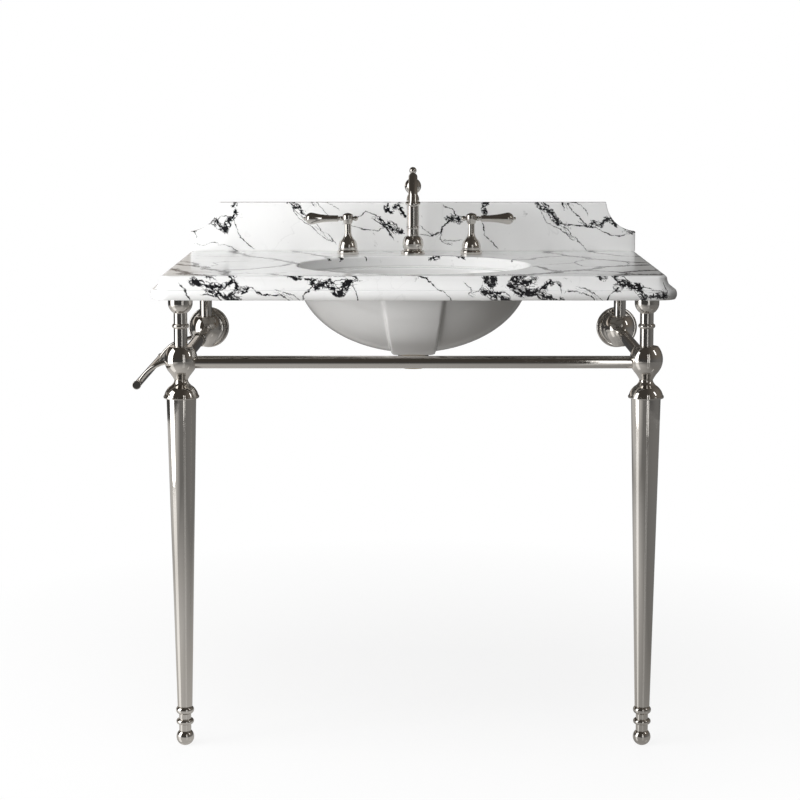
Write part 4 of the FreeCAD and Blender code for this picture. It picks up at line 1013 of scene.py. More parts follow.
@dataclass
class MarbleTop(SubAssembly):
    """The slab with its ogee edge and oval cut-out, and the backsplash that stands on it."""

    half_width: float = 460.0
    depth: float = 559.0
    corner: float = 36.0
    setback: float = 21.0
    mouth_across: float = 215.0
    mouth_along: float = 188.0
    slab: float = 20.0
    pocket_half: float = 381.5
    pocket_front: float = 527.0
    pocket_back: float = 20.0
    arris: float = 2.5
    splash_half: float = 442.0
    splash_height: float = 97.0
    splash_thickness: float = 20.0
    scoop: float = 58.0

    def build(self) -> None:
        """Build the slab and the backsplash."""
        self.build_slab()
        self.build_splash()

    def plan(self) -> Walk:
        """Walk round the slab anticlockwise.

        Returns:
            The outermost points and the inward step at each.
        """
        half, straight, run = self.half_width, self.depth - self.corner, self.half_width - self.corner

        def line(start: Spot, stop: Spot, count: int, inward: Spot, ends: bool = False) -> Walk:
            """Return a straight stretch."""
            return np.linspace(start, stop, count, endpoint=ends), np.tile(inward, (count, 1))

        def corner(across: float, first: float) -> Walk:
            """Round a corner.

            Args:
                across: The X of its middle.
                first: The bearing that it starts at.

            Returns:
                The rounded stretch.
            """
            angles = np.linspace(first, first + math.pi / 2, 20, endpoint=False)
            outward = np.column_stack([np.cos(angles), np.sin(angles)])
            return outward * self.corner + (across, -straight), -outward

        rear = np.linspace((half, 0.0), (-half, 0.0), 77)[1:-1]
        walk = (
            line((-half, 0.0), (-half, -straight), 158, (1.0, 0.0)),
            corner(-run, math.pi),
            line((-run, -self.depth), (run, -self.depth), 386, (0.0, 1.0)),
            corner(run, 1.5 * math.pi),
            line((half, -straight), (half, 0.0), 158, (-1.0, 0.0), ends=True),
            (rear, -rear / half),
        )
        points, steps = zip(*walk)
        return np.vstack(points), np.vstack(steps)

    def build_slab(self) -> None:
        """Loft the slab from the cut-out's wall over the top, down the built-up ogee edge and back below."""
        plan, inward = self.plan()
        ogee = [
            (-self.setback, DECK),
            (3 - self.setback, DECK - 3, -HOLLOW),
            (-7, NOSE_TOP),
            (-3, NOSE_TOP, -4 * math.degrees(math.atan(6 / (NOSE_TOP - UNDERSIDE)))),
            (-3, UNDERSIDE),
            (-3 - self.setback, UNDERSIDE),
        ]
        edge = eased(drawn(ogee, closed=False), 1.0, closed=False)[:-1]
        centre = np.array((0.0, BOWL_ROW))
        outward = plan + inward * self.setback - centre
        bearing = np.arctan2(outward[:, 1] / self.mouth_along, outward[:, 0] / self.mouth_across)
        radial = np.column_stack([np.cos(bearing), np.sin(bearing)])
        mouth = centre + radial * (self.mouth_across, self.mouth_along)
        step_out = radial / (self.mouth_across, self.mouth_along)
        step_out /= np.linalg.norm(step_out, axis=1)[:, None]
        rows: list[np.ndarray] = []
        flats: list[np.ndarray] = []

        def add(across: np.ndarray, level: float, flat: np.ndarray) -> None:
            """Add a ring at a level, with its places in the unrolled plane."""
            rows.append(np.column_stack([across, np.full(len(across), level)]))
            flats.append(flat)

        lip = self.arris
        ceiling = DECK - self.slab
        for level in np.linspace(ceiling, DECK - lip * 2, 6):
            add(mouth, level, mouth - step_out * (DECK - level))
        for angle in np.linspace(0.0, math.pi / 2, 6):
            away = mouth + step_out * lip * (1 - math.cos(angle))
            add(away, DECK - lip + lip * math.sin(angle), away)
        start, stop = mouth + step_out * lip, plan + inward * self.setback
        for share in np.linspace(0.0, 1.0, 52)[1:-1]:
            between = start + (stop - start) * share
            add(between, DECK, between)
        for out, level in edge:
            add(plan - inward * out, level, stop - inward * (DECK - level))
        add(plan + inward * (self.setback + 3), UNDERSIDE, plan)
        shrink = (self.pocket_half / self.half_width, (self.pocket_front - self.pocket_back) / self.depth)
        pocket = plan * shrink - (0.0, self.pocket_back)
        for out, level in (
            (4.0, UNDERSIDE), (1.0, UNDERSIDE), (0.0, UNDERSIDE + 1), (0.0, UNDERSIDE + 4),
            (0.0, ceiling - 4), (0.0, ceiling - 1), (-1.0, ceiling), (-4.0, ceiling),
        ):
            add(pocket - inward * out, level, plan)
        for share in np.linspace(0.0, 1.0, 8)[1:-1]:
            add(pocket + (mouth - pocket) * share, ceiling, plan)
        mesh = lofted(rows).mesh("marble_top")
        arris = -self.depth + self.setback
        add_fields(mesh, vein_fields(np.vstack(flats), [*laid_on_edge(EDGE_VEINS, arris), *FLAT_VEINS]))
        self.fit("marble_top", mesh, MARBLE)

    def build_splash(self) -> None:
        """Build the backsplash from two dense faces joined by eased edges."""
        ease, thickness, heights = 1.6, self.splash_thickness, 44
        half, foot, top = self.splash_half - ease, DECK + ease, DECK + self.splash_height - ease
        right = drawn([(half, top - self.scoop, -DOME), (half - self.scoop, top)], closed=False)
        middle = np.linspace((self.scoop - half, top), (half - self.scoop, top), 340)[1:-1]
        ridge = np.vstack([right * (-1, 1), middle, right[::-1]])
        columns = len(ridge)
        grid = np.linspace(np.column_stack([ridge[:, 0], np.full(columns, foot)]), ridge, heights, axis=1)
        sheet = grid.reshape(-1, 2)
        back = len(sheet)
        here = np.arange(back).reshape(columns, heights)
        loop = np.concatenate([here[:, 0], here[-1, 1:], here[-2::-1, -1], here[0, -2:0:-1]])
        around = len(loop)
        border = sheet[loop]
        heading = np.roll(border, -1, axis=0) - border
        heading /= np.linalg.norm(heading, axis=1)[:, None]
        normal = np.column_stack([heading[:, 1], -heading[:, 0]])
        before = np.roll(normal, 1, axis=0)
        outward = (normal + before) / (1 + (normal * before).sum(axis=1))[:, None]
        angles = np.linspace(0.0, math.pi / 2, 5)[1:]
        rims = [(ease * math.sin(angle), ease * (1 - math.cos(angle)) - thickness) for angle in angles]
        rims += [(ease, -thickness / 2), (ease, -2.0), (ease, -0.3), (ease - 0.3, 0.0)]
        flat = np.vstack([sheet, sheet, *(border + outward * out for out, _ in rims)])
        counts = [back, back] + [around] * len(rims)
        depths = np.repeat([-thickness, 0.0, *(level for _, level in rims)], counts)
        one, two = here[:-1, :-1].ravel(), here[1:, :-1].ravel()
        front = np.column_stack([one, two, two + 1, one + 1])
        faces = [front, front[:, [0, 3, 2, 1]] + back]
        rings = [loop, *np.arange(2 * back, len(flat)).reshape(-1, around), loop + back]
        for ring, after in zip(rings, rings[1:]):
            faces.append(np.column_stack([ring, after, np.roll(after, -1), np.roll(ring, -1)]))
        points = np.column_stack([flat[:, 0], depths, flat[:, 1]])
        mesh = Shape(points, np.vstack(faces).tolist()).mesh("backsplash")
        add_fields(mesh, vein_fields(flat, SPLASH_VEINS))
        self.fit("backsplash", mesh, MARBLE)


# Basin and waste


@dataclass
class Basin(SubAssembly):
    """The undermount basin with its raised overflow channel, and the waste in its floor."""

    half_across: float = 213.0
    half_along: float = 183.0
    half_height: float = 145.0
    level: float = 6.0
    china: float = 9.0
    mouth_across: float = 215.0
    mouth_along: float = 188.0
    rim_across: float = 233.0
    rim_along: float = 206.0
    rim_top: float = 1.0
    rim_foot: float = -11.0
    channel_top: float = 56.2
    channel_foot: float = 38.5
    channel_rise: float = 9.0
    channel_drop: float = 138.0
    channel_ahead: float = 62.0
    channel_flank: float = 7.0
    channel_fade: float = 6.0
    waste_radius: float = 21.1
    seat_radius: float = 32.6
    seat: float = -131.0
    seat_edge: float = 36.0
    boss_radius: float = 31.0
    foot: float = -140.0
    skin_end: float = -1.39
    lip: float = 3.0
    rounding: float = 2.0
    waste_foot: float = -169.0
    stopper_foot: float = -150.7

    def build(self) -> None:
        """Build the bowl, its sealant and the waste."""
        self.fit("basin", self.bowl(), CHINA)
        self.fit("basin_sealant", self.bead(), SEALANT)
        body = [
            (17.0, 0.0), (21.0, 0.0), (21.0, 37.0), (32.0, 37.0, SOFT), (25.3, 40.0), (23.8, 40.0),
            (23.8, 38.0), (17.0, 38.0), (17.0, 30.0), (4.05, 30.0), (4.05, 18.0), (17.0, 18.0),
        ]
        self.fit("drain_body", turned(body, (0.0, BOWL_ROW, self.waste_foot), ease=0.6))
        stopper = [
            (0.0, 0.0), (4.0, 0.0), (4.0, 20.0), (23.5, 20.0), (23.5, 22.0, FAINT), (TIP_FLAT, 24.0),
            (0.0, 24.0),
        ]
        at = (0.0, BOWL_ROW, self.stopper_foot)
        self.fit("drain_stopper", turned(stopper, at, ease=0.7), body="stopper")

    def shell(self, thinner: float, latitude: float) -> np.ndarray:
        """Lay a ring on the bowl's skin.

        Args:
            thinner: How far it lies inside the outer skin.
            latitude: Its angle above the bowl's level, in radians.

        Returns:
            The ring's points.
        """
        across, along, height = np.array((self.half_across, self.half_along, self.half_height)) - thinner
        reach = math.cos(latitude)
        return oval(across * reach, along * reach, self.level + height * math.sin(latitude))

    def bowl(self) -> Shape:
        """Loft the bowl: inside from the waste up, over the rim and down the outside.

        Returns:
            The bowl's shape.
        """
        waste, seat = self.waste_radius, self.seat_radius
        recess = (
            (waste, self.foot), (waste, self.seat - 0.5), (waste + 1, self.seat), (seat - 0.3, self.seat),
            (seat, self.seat + 0.4),
        )
        rows = [oval(radius, radius, level) for radius, level in recess]
        low = -math.acos(self.seat_edge / (self.half_along - self.china))
        high = math.asin((self.rim_top - self.lip - self.level) / (self.half_height - self.china))
        rows += [self.shell(self.china, latitude) for latitude in np.linspace(low, high, 46)]
        inner = rows[-1]
        edge = oval(self.rim_across, self.rim_along, self.rim_top - self.lip)
        for out, up in ((0.02, 1.5), (0.055, 2.5), (0.11, 2.9), (0.2, 3.0), (0.9, 3.0)):
            rows.append(inner + (edge - inner) * out + (0.0, 0.0, up))
        sweep = np.linspace(0.0, math.pi / 2, 4)
        size = self.rounding
        rim = [(1 - math.sin(angle), self.rim_top - size * (1 - math.cos(angle))) for angle in sweep]
        rim += [(1 - math.cos(angle), self.rim_foot + size * (1 - math.sin(angle))) for angle in sweep]
        for share, level in (*rim, (5.0, self.rim_foot)):
            inset = size * share
            rows.append(oval(self.rim_across - inset, self.rim_along - inset, level))
        start = math.asin((self.rim_foot - self.level) / self.half_height)
        for latitude in np.linspace(start, self.skin_end, 60):
            rows.append(self.with_channel(self.shell(0.0, latitude)))
        rows += [oval(self.boss_radius, self.boss_radius, level) for level in (self.foot + 1.8, self.foot)]
        return lofted(rows)

    def bead(self) -> Shape:
        """Loft the sealant between the rim and the slab, smoothed off at the wall of the cut-out.

        Returns:
            The sealant's shape.
        """
        foot, top = self.rim_top + 0.02, self.rim_top + 1.48
        inside = ((-1.6, foot), (-0.7, foot + 0.33), (-0.15, foot + 1.0), (-0.03, top))
        outside = ((-1.0, top), (-0.1, top - 0.2), (-0.1, foot + 0.2), (-1.0, foot))
        rings = [oval(self.mouth_across + out, self.mouth_along + out, level) for out, level in inside]
        rings += [oval(self.rim_across + out, self.rim_along + out, level) for out, level in outside]
        return lofted(rings)

    def with_channel(self, ring: np.ndarray) -> np.ndarray:
        """Push a ring of the outside outwards where the overflow channel runs down the front.

        Args:
            ring: The ring's points.

        Returns:
            The points, moved where the channel is.
        """
        drop = np.clip((self.rim_top - ring[:, 2]) / self.channel_drop, 0.0, 1.0)
        half = self.channel_top + (self.channel_foot - self.channel_top) * drop
        inside = np.clip((half - np.abs(ring[:, 0])) / self.channel_flank + 0.5, 0.0, 1.0)
        ahead = BOWL_ROW - self.channel_ahead - ring[:, 1]
        front = np.clip(ahead / self.channel_fade + 0.5, 0.0, 1.0)
        raised = inside**2 * (3 - 2 * inside) * front**2 * (3 - 2 * front)
        sizes = np.array((self.half_across, self.half_along, self.half_height))
        normal = (ring - (0.0, BOWL_ROW, self.level)) / sizes**2
        normal /= np.linalg.norm(normal, axis=1)[:, None]
        return ring + normal * (self.channel_rise * raised)[:, None]


# Tap


@dataclass
class Spout(SubAssembly):
    """The spout: bell base, column with ring and ball, arched arm, outlet and finial."""

    tube: BentTube
    ball_level: float = 155.5
    ball_radius: float = 16.0
    neck: float = 9.0
    finial_neck: float = 4.0
    finial_radius: float = 7.0
    finial_tenon: float = 2.8
    finial_stalk: float = 9.0
    arm_radius: float = 8.5
    arm_socket: float = 8.0
    arm: Arm = Arm(straight=17.0, bend=55.0, sweep=115.0, tilt=-35.0)

    def build(self) -> None:
        """Build the five pieces."""
        at_deck = (0.0, TAP_ROW, DECK)
        bell = [
            (17.3, 0.0), (23.5, 0.0), (23.5, 3.0, QUARTER_ROUND), (17.5, 9.0, DOME), (14.0, 36.0),
            (12.1, 36.0), (12.1, 4.3), (17.3, 4.3),
        ]
        self.fit("spout_base", turned(bell, at_deck, sides=96))
        slim, middle = self.finial_neck, self.ball_level - DECK
        below, above, swell = knob(self.ball_radius, self.neck, slim)
        crown = middle + above
        column = [
            (0.0, -81.0), (10.0, -81.0), (10.0, -61.0), (11.0, -61.0), (11.0, 0.0), (17.0, 0.0), (17.0, 4.0),
            (12.0, 4.0), (12.0, 50.0, CUP), (12.0, 55.0), (12.0, 96.0, BEAD), (12.0, 103.0, SOFT),
            (self.neck, 117.0), (self.neck, middle - below, swell), (slim, crown), (0.0, crown),
        ]
        self.fit("spout_column", turned(column, at_deck, sides=96))
        tenon = self.finial_tenon
        below, above, turn = knob(self.finial_radius, slim, TIP_FLAT)
        neck = tenon + self.finial_stalk
        top = neck + below + above
        finial = [
            (0.0, 0.0), (2.5, 0.0), (2.5, tenon), (slim, tenon), (slim, neck, turn), (TIP_FLAT, top),
            (0.0, top),
        ]
        self.fit("spout_finial", turned(finial, (0.0, TAP_ROW, DECK + crown - tenon)))
        self.build_arm()

    def build_arm(self) -> None:
        """Bend the arm out of the ball and down, and put the outlet on its end."""
        line = self.arm.line(self.arm_socket)
        path = np.column_stack([np.zeros(len(line)), line[:, 0] + TAP_ROW, line[:, 1] + self.ball_level])
        self.fit("spout_arm", self.tube.mesh("spout_arm", path, self.arm_radius))
        outlet = [(6.5, 0.0), (9.3, 0.0, SOFT), (9.3, 7.0), (6.5, 7.0)]
        turn = ("X", 90 + self.arm.tilt + self.arm.sweep)
        self.fit("spout_aerator", turned(outlet, path[-1], turn, ease=0.8))


@dataclass
class TapHandle(SubAssembly):
    """One tap handle: a bell on the deck, and a hub with a lever and a counter finial that turn."""

    name: str
    side: Side
    across: float
    hub_lift: float = 59.8
    lever_lift: float = 10.0
    stalk: float = 3.6
    bead: float = 5.0
    reach: float = 20.0

    def build(self) -> None:
        """Build the bell, the hub, the lever and the counter finial."""
        bell = [
            (17.3, 0.0), (21.0, 0.0), (21.0, 3.0, QUARTER_ROUND), (18.4, 9.0, SOFT), (14.8, 27.0, HOLLOW),
            (6.5, 43.0), (6.5, 59.5), (4.3, 59.5), (4.3, 43.0), (12.8, 27.0), (12.8, 4.3), (17.3, 4.3),
        ]
        self.fit(f"{self.name}_escutcheon", turned(bell, (self.across, TAP_ROW, DECK), sides=96))
        turning = f"{self.name}_handle"
        swell = 2 * math.degrees(math.atan(0.23))
        hub = [
            (4.05, 0.0), (8.0, 0.0, swell), (10.3, 10.0), (10.3, 16.8, SOFT), (TIP_FLAT, 21.0), (0.0, 21.0),
            (0.0, 7.0), (4.05, 7.0),
        ]
        hub_foot = DECK + self.hub_lift
        self.fit(f"{self.name}_hub", turned(hub, (self.across, TAP_ROW, hub_foot)), body=turning)
        outward, inward = (Way.RIGHT, Way.LEFT) if self.side is Side.RIGHT else (Way.LEFT, Way.RIGHT)
        lever = [
            (0.0, 4.0), (2.8, 4.0), (2.8, 10.3), (4.6, 10.3), (4.6, 14.3, COVE), (4.6, 19.0),
            (6.2, 19.0, -FAINT), (11.6, 70.0, DOME), (3.2, 83.0, HOLLOW), (3.2, 85.0, DOME),
            (TIP_FLAT, 87.0), (0.0, 87.0),
        ]
        at = (self.across, TAP_ROW, hub_foot + self.lever_lift)
        self.fit(f"{self.name}_lever", turned(lever, at, outward.value), body=turning)
        stalk, end = self.stalk, self.reach
        below, above, turn = knob(self.bead, stalk, TIP_FLAT)
        neck = end - (below + above)
        counter = [
            (0.0, 4.0), (2.8, 4.0), (2.8, 10.3), (stalk, 10.3), (stalk, neck, turn), (TIP_FLAT, end),
            (0.0, end),
        ]
        self.fit(f"{self.name}_counter_finial", turned(counter, at, inward.value), body=turning)


# Frame


@dataclass
class SideFrame(SubAssembly):
    """One side of the frame: leg, urns, posts, rail and wall flange."""

    side: Side
    tube: BentTube
    rail_front: float = -500.0
    rail_rear: float = -73.0
    flange_row: float = -43.0
    foot_level: float = -823.0
    ankle_level: float = -797.0
    tube_level: float = -752.0
    collar_level: float = -208.8

    @property
    def column(self) -> float:
        """The X of the leg and of all that stands behind it."""
        return LEG_COLUMN * self.side.value

    def build(self) -> None:
        """Build the side from the foot up and from the front to the wall."""
        word = self.side.word
        self.build_leg()
        self.fit(f"{word}_front_urn", self.urn(FRONT_ROW))
        boss = [(0.0, 0.0), (14.5, 0.0), (14.5, 35.0), (0.0, 35.0)]
        sleeve = turned(boss, (self.column, REAR_ROW, RAIL_LEVEL), Way.BACK.value)
        self.fit(f"{word}_rear_urn", self.urn(REAR_ROW) + sleeve)
        for place, row in (("front", FRONT_ROW), ("rear", REAR_ROW)):
            post = [
                (0.0, 0.0), (TENON_RADIUS, 0.0), (TENON_RADIUS, TENON), (11.9, TENON), (11.9, 50.0, BEAD),
                (11.9, 58.0), (11.9, 77.0, CUP), (21.5, 96.0), (21.5, 103.0), (0.0, 103.0),
            ]
            at = (self.column, row, URN_TOP - TENON)
            self.fit(f"{word}_{place}_post", turned(post, at, sides=96))
        rows = np.linspace(self.rail_front, self.rail_rear, 9)
        rail = np.array([(self.column, y, RAIL_LEVEL) for y in rows])
        name = f"{word}_side_rail"
        self.fit(name, self.tube.mesh(name, rail, RAIL_RADIUS))
        flange = [
            (0.0, 0.0), (10.0, 0.0), (10.0, 20.0), (14.5, 20.0, COVE), (32.0, 33.0, SOFT), (34.0, 37.0),
            (38.5, 37.0, QUARTER_ROUND), (40.5, 40.0), (40.5, 43.0), (4.0, 43.0), (4.0, 19.0), (0.0, 19.0),
        ]
        at = (self.column, self.flange_row, RAIL_LEVEL)
        self.fit(f"{word}_wall_flange", turned(flange, at, Way.BACK.value, sides=96))

    def urn(self, row: float) -> Shape:
        """Return an urn-shaped connector in a row."""
        profile = [(0.0, 0.0), (12.0, 0.0, -FAINT), (21.5, 14.0, DOME), (20.5, 59.0), (0.0, 59.0)]
        return turned(profile, (self.column, row, URN_FOOT), sides=120)

    def build_leg(self) -> None:
        """Build the foot, the ankle, the tapered tube and the collar."""
        word = self.side.word
        foot = [(0.0, 0.0), (6.0, 0.0, BALL), (10.8, 26.0), (5.0, 26.0), (5.0, 52.0), (0.0, 52.0)]
        place = (self.column, FRONT_ROW, self.foot_level)
        self.fit(f"{word}_foot", turned(foot, place), body=f"{word}_levelling_foot")
        ankle = [
            (5.05, 0.0), (10.8, 0.0), (10.8, 12.0, HALF_ROUND), (10.8, 22.0), (10.8, 31.0, BEAD),
            (10.8, 45.0), (11.2, 45.0), (11.2, 67.0), (0.0, 67.0), (0.0, 30.0), (5.05, 30.0),
        ]
        place = (self.column, FRONT_ROW, self.ankle_level)
        self.fit(f"{word}_ankle", turned(ankle, place, sides=96))
        tube = [(11.3, 0.0), (13.3, 0.0), (26.0, 557.2), (24.0, 557.2)]
        place = (self.column, FRONT_ROW, self.tube_level)
        self.fit(f"{word}_leg_tube", turned(tube, place, sides=120))
        collar = [
            (0.0, 0.0), (23.4, 0.0), (23.4, 14.0), (31.0, 14.0, SOFT), (31.0, 18.0), (30.0, 18.0, SOFT),
            (20.5, 34.0, -SOFT), (12.0, 44.0), (12.0, 46.3), (0.0, 46.3),
        ]
        place = (self.column, FRONT_ROW, self.collar_level)
        self.fit(f"{word}_leg_collar", turned(collar, place, sides=120))


@dataclass
class CrossBar(SubAssembly):
    """The bar between the front urns."""

    tube: BentTube
    half: float = 394.0

    def build(self) -> None:
        """Run the bar from urn to urn."""
        path = np.array([(x, FRONT_ROW, RAIL_LEVEL) for x in np.linspace(-self.half, self.half, 17)])
        self.fit("front_crossbar", self.tube.mesh("front_crossbar", path, RAIL_RADIUS))


@dataclass
class TowelRail(SubAssembly):
    """The towel bar on the left with its two bent arms, collar and end caps."""

    tube: BentTube
    bar_x: float = -483.75
    bar_z: float = -168.45
    bar_front: float = -541.0
    bar_rear: float = -179.0
    rear_row: float = -203.0
    arm_radius: float = 4.0
    arm_rise: float = 8.0
    arm: Arm = Arm(straight=32.0, bend=70.0, sweep=40.0, tilt=16.0, tenon=9.4)
    bar_radius: float = 6.35

    def build(self) -> None:
        """Bend the arms, and hang the bar on them."""
        for place, row, socket in (("front", FRONT_ROW, 20.0), ("rear", self.rear_row, 9.0)):
            name = f"towel_arm_{place}"
            line = self.arm.line(socket)
            levels = line[:, 1] + RAIL_LEVEL + self.arm_rise
            path = np.column_stack([line[:, 0] - LEG_COLUMN, np.full(len(line), row), levels])
            self.fit(name, self.tube.mesh(name, path, self.arm_radius, 32))
        collar = [(11.2, 0.0), (13.6, 0.0), (13.6, 14.0), (11.2, 14.0)]
        at = (-LEG_COLUMN, self.rear_row - 7.0, RAIL_LEVEL)
        self.fit("towel_rail_collar", turned(collar, at, Way.BACK.value, ease=1.0))
        bar = np.array([(self.bar_x, y, self.bar_z) for y in np.linspace(self.bar_front, self.bar_rear, 9)])
        self.fit("towel_bar", self.tube.mesh("towel_bar", bar, self.bar_radius, 48))
        cap = [(0.0, 0.0), (7.6, 0.0), (7.6, 4.0), (4.0, 4.0), (4.0, 10.0), (0.0, 10.0)]
        front = turned(cap, (self.bar_x, self.bar_front - 4.0, self.bar_z), Way.BACK.value, ease=1.0)
        rear = turned(cap, (self.bar_x, self.bar_rear + 4.0, self.bar_z), Way.FRONT.value, ease=1.0)
        self.fit("towel_end_caps", front + rear)


@dataclass
class HiddenFittings:
    """The fittings below and behind, which keep the frame's own shapes and get their finishes."""

    finishes: tuple[tuple[Finish, tuple[str, ...]], ...] = (
        (BRASS, ("hot_valve_body", "cold_valve_body", "hot_stem", "cold_stem", "drain_locknut")),
        (BRASS, ("hot_locknut", "cold_locknut", "spout_locknut")),
        (RUBBER, ("hot_washer", "cold_washer", "spout_washer", "drain_gasket")),
        (ZINC, ("basin_clips", "basin_clip_screws")),
    )

    def dress(self) -> None:
        """Put each finish on its nodes."""
        for finish, nodes in self.finishes:
            for node in nodes:
                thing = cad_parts[node]
                for place in thing.material_slots:
                    place.material = finish.material()
                log.info("%s keeps its shape, in %s", node, finish.name)


# Studio


@dataclass
class Studio:
    """The white room: camera, lamps, floor and the dark cards that the metal reflects."""

    lens: float = 92.563
    eye: tuple[float, float, float] = (-0.0129, -4.0983, 0.364)
    pitch: float = 6.147
    shift_x: float = -0.0079
    shift_y: float = -0.125
    wall_radius: float = 3.4
    floor_reach: float = 4.0
    floor_level: float = -0.8232

    def build(self) -> None:
        """Set up the camera, the world, the lamps, the floor and the cards."""
        bpy.context.scene.view_settings.view_transform = "Standard"
        self.add_camera()
        self.add_world()
        self.add_floor()
        self.add_room()
        self.add_carpet()
        self.add_lamps()

    def add_camera(self) -> None:
        """Put the camera where the photograph was taken from."""
        camera = bpy.data.cameras.new("camera")
        camera.lens = self.lens
        camera.sensor_width = 36.0
        camera.shift_x = self.shift_x
        camera.shift_y = self.shift_y
        holder = bpy.data.objects.new("camera", camera)
        holder.location = self.eye
        holder.rotation_euler = Euler((math.radians(90 - self.pitch), 0.0, 0.0))
        bpy.context.scene.collection.objects.link(holder)
        bpy.context.scene.camera = holder

    @staticmethod
    def seen(graph: Graph) -> Value:
        """Tell what the camera sees, straight or in a mirror or glass, from light that falls on things.

        Args:
            graph: The graph that asks.

        Returns:
            1 for what is seen, else 0.
        """
        kinds = ("Camera", "Glossy", "Transmission")
        rays = [graph.node("ShaderNodeLightPath", {}, {}, f"Is {kind} Ray") for kind in kinds]
        return (rays[0] + rays[1] + rays[2]).held()

    def add_world(self) -> None:
        """Make the surroundings white to the eye and softer as light."""
        world = bpy.data.worlds.new("studio")
        world.use_nodes = True
        bpy.context.scene.world = world
        world.node_tree.nodes.clear()
        graph = Graph(world.node_tree)
        strength = self.seen(graph) * 0.87 + 0.13
        back = graph.node("ShaderNodeBackground", {}, {"Color": WHITE, "Strength": strength})
        graph.node("ShaderNodeOutputWorld", {}, {"Surface": back})

    def add_floor(self) -> None:
        """Lay the floor, white to the eye with a faint shadow that fades out at its border."""
        paint = Paint("studio_floor")
        fade = ((paint.spread() - 0.7) * 1.4).held()
        seen = self.seen(paint)
        tone = paint.mix(seen, (0.17, 0.158, 0.142), WHITE[:3])
        matt = paint.node("ShaderNodeBsdfDiffuse", {}, {"Color": tone})
        white = seen * (fade * 0.25 + 0.75)
        paint.cover(paint.node("ShaderNodeMixShader", {}, {0: white, 1: matt, 2: paint.glow(WHITE, 1.0)}))
        self.add_stage("floor", self.sheet("floor", self.floor_reach, self.floor_level), paint.material)

    @staticmethod
    def sheet(name: str, reach: float, level: float = 0.0) -> bpy.types.Mesh:
        """Make a level square.

        Args:
            name: The mesh's name.
            reach: How far it reaches on each side.
            level: Its height.

        Returns:
            The mesh.
        """
        mesh = bpy.data.meshes.new(name)
        corners = ((-1, -1), (1, -1), (1, 1), (-1, 1))
        mesh.from_pydata([(x * reach, y * reach, level) for x, y in corners], [], [(0, 1, 2, 3)])
        return mesh

    @staticmethod
    def add_stage(
        name: str, mesh: bpy.types.Mesh, material: bpy.types.Material, hidden: bool = False
    ) -> bpy.types.Object:
        """Add a piece of the studio.

        Args:
            name: Its name.
            mesh: Its mesh in metres.
            material: What it is painted with.
            hidden: Whether only reflections show it.

        Returns:
            The piece's object.
        """
        mesh.materials.append(material)
        thing = bpy.data.objects.new(name, mesh)
        for kind in ("camera", "diffuse", "transmission", "volume_scatter", "shadow"):
            setattr(thing, f"visible_{kind}", not hidden)
        bpy.context.scene.collection.objects.link(thing)
        return thing

    def add_room(self) -> None:
        """Close a dark room, paler at the right and the far left, which only polished surfaces show."""
        paint = Paint("studio_room")
        x, y, z = paint.parts()
        right = (x * 0.3).held()
        behind = (y * 0.8 - 0.6).held() * (x * -1.0 - 0.1).held()
        band = (z * 8.0 - 0.2).held() * (1.6 - z * 2.0).held()
        tint = paint.mix((z * 1.2 + 0.4).held(), (1.0, 0.99, 0.975), (1.0, 0.89, 0.78))
        strength = right * right * 0.13 + behind * band * 0.85 + 0.065
        paint.cover(paint.glow(tint, strength))
        wall, around = self.wall_radius, 48
        angles = [math.tau * step / around for step in range(around)]
        rows = [
            (radius * math.cos(angle), radius * math.sin(angle) - 0.3, level)
            for radius, level in ((wall, -0.82), (wall, 1.7), (wall * 0.7, 2.9), (0.05, 3.3))
            for angle in angles
        ]
        steps = [(step, (step + 1) % around) for step in range(around)]
        faces = [
            (start + one, start + around + one, start + around + two, start + two)
            for start in range(0, around * 3, around)
            for one, two in steps
        ]
        mesh = bpy.data.meshes.new("room")
        mesh.from_pydata(rows, [], faces)
        self.add_stage("room", mesh, paint.material, hidden=True)

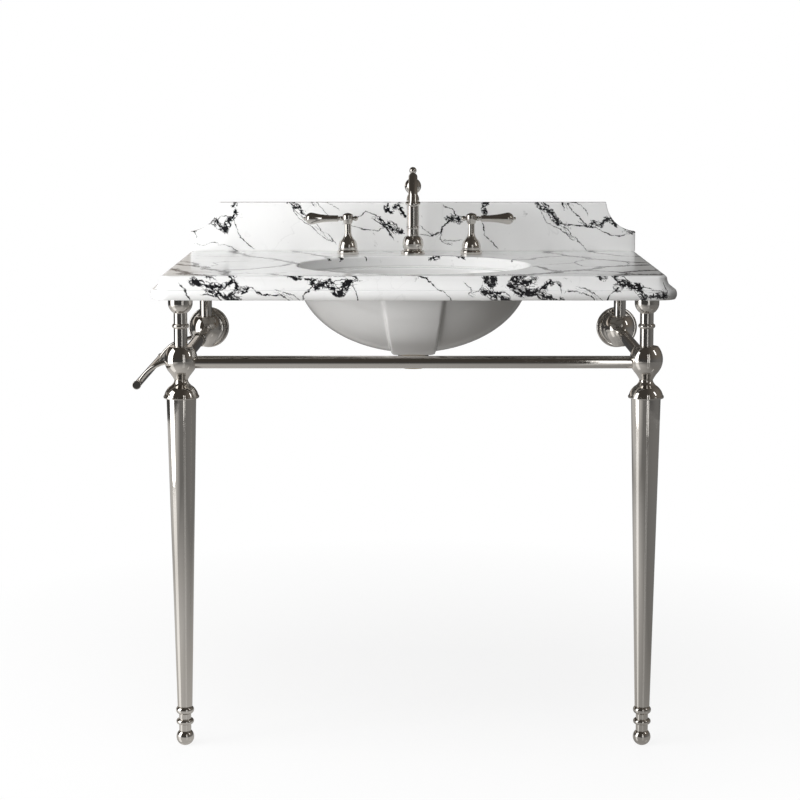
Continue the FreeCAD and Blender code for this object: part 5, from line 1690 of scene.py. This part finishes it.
    def add_carpet(self) -> None:
        """Lay a glossy carpet with a painted pool of light, paler by the lamp and the legs, which only
        polished surfaces show.
        """
        paint = Paint("studio_carpet")
        x = paint.parts()[0]
        # Painted light: the glow is brightest round the stand and fades to the right, with a painted lit
        # patch to the left where the lamp falls
        light_pool = (1.9 - paint.spread() * 0.87).held() * (0.31 - x * 0.31).held()
        lit = (x * -0.9 - 0.75).held() * 0.55
        glow = paint.glow((1.0, 0.985, 0.965, 1.0), light_pool.larger(lit) + 0.24)
        gloss = paint.node("ShaderNodeBsdfGlossy", {}, {"Color": WHITE, "Roughness": 0.12})
        paint.cover(paint.node("ShaderNodeMixShader", {}, {0: 0.2, 1: glow, 2: gloss}))
        carpet = self.add_stage("carpet", self.sheet("carpet", self.wall_radius), paint.material, hidden=True)
        carpet.location = (0.0, -0.3, -0.823)

    def add_lamps(self) -> None:
        """Hang a soft lamp and a window at the left, strips ahead and at the right, and two fills."""
        for name, place, size, radiance, lights, mirrored in (
            ("soft_box", (-1.75, -2.1, 0.5), (2.6, 2.7), 2.85, True, False),
            ("window", (-2.32, -1.02, 0.54), (1.45, 2.7), 3.0, True, True),
            ("strip", (0.62, -3.0, 0.3), (0.14, 2.2), 2.2, False, True),
            ("far_strip", (1.11, -2.91, 0.3), (0.16, 2.2), 1.6, False, True),
            ("side_strip", (2.3, -1.2, 1.2), (0.3, 1.2), 3.0, False, True),
            ("overhead", (0.0, -0.9, 2.6), (2.0, 1.4), 2.3, True, False),
            ("back_fill", (0.5, 2.8, 0.35), (2.4, 1.6), 2.6, True, False),
        ):
            lamp = bpy.data.lights.new(name, "AREA")
            lamp.shape = "RECTANGLE"
            lamp.size, lamp.size_y = size
            lamp.energy = radiance * size[0] * size[1] * math.pi
            holder = bpy.data.objects.new(name, lamp)
            holder.location = place
            holder.visible_diffuse = lights
            holder.visible_glossy = mirrored
            aim = Vector((0.0, -0.3, min(place[2], 1.2))) - Vector(place)
            holder.rotation_euler = aim.to_track_quat("-Z", "Y").to_euler()
            bpy.context.scene.collection.objects.link(holder)


def main() -> None:
    """Build the studio and every sub-assembly."""
    logging.basicConfig(level=logging.INFO, format="%(name)s: %(message)s")
    tube = BentTube()
    Studio().build()
    MarbleTop().build()
    Basin().build()
    Spout(tube).build()
    TapHandle("hot", Side.LEFT, -127.0).build()
    TapHandle("cold", Side.RIGHT, 114.0).build()
    for side in Side:
        SideFrame(side, tube).build()
    CrossBar(tube).build()
    TowelRail(tube).build()
    HiddenFittings().dress()


if __name__ == "__main__":
    main()
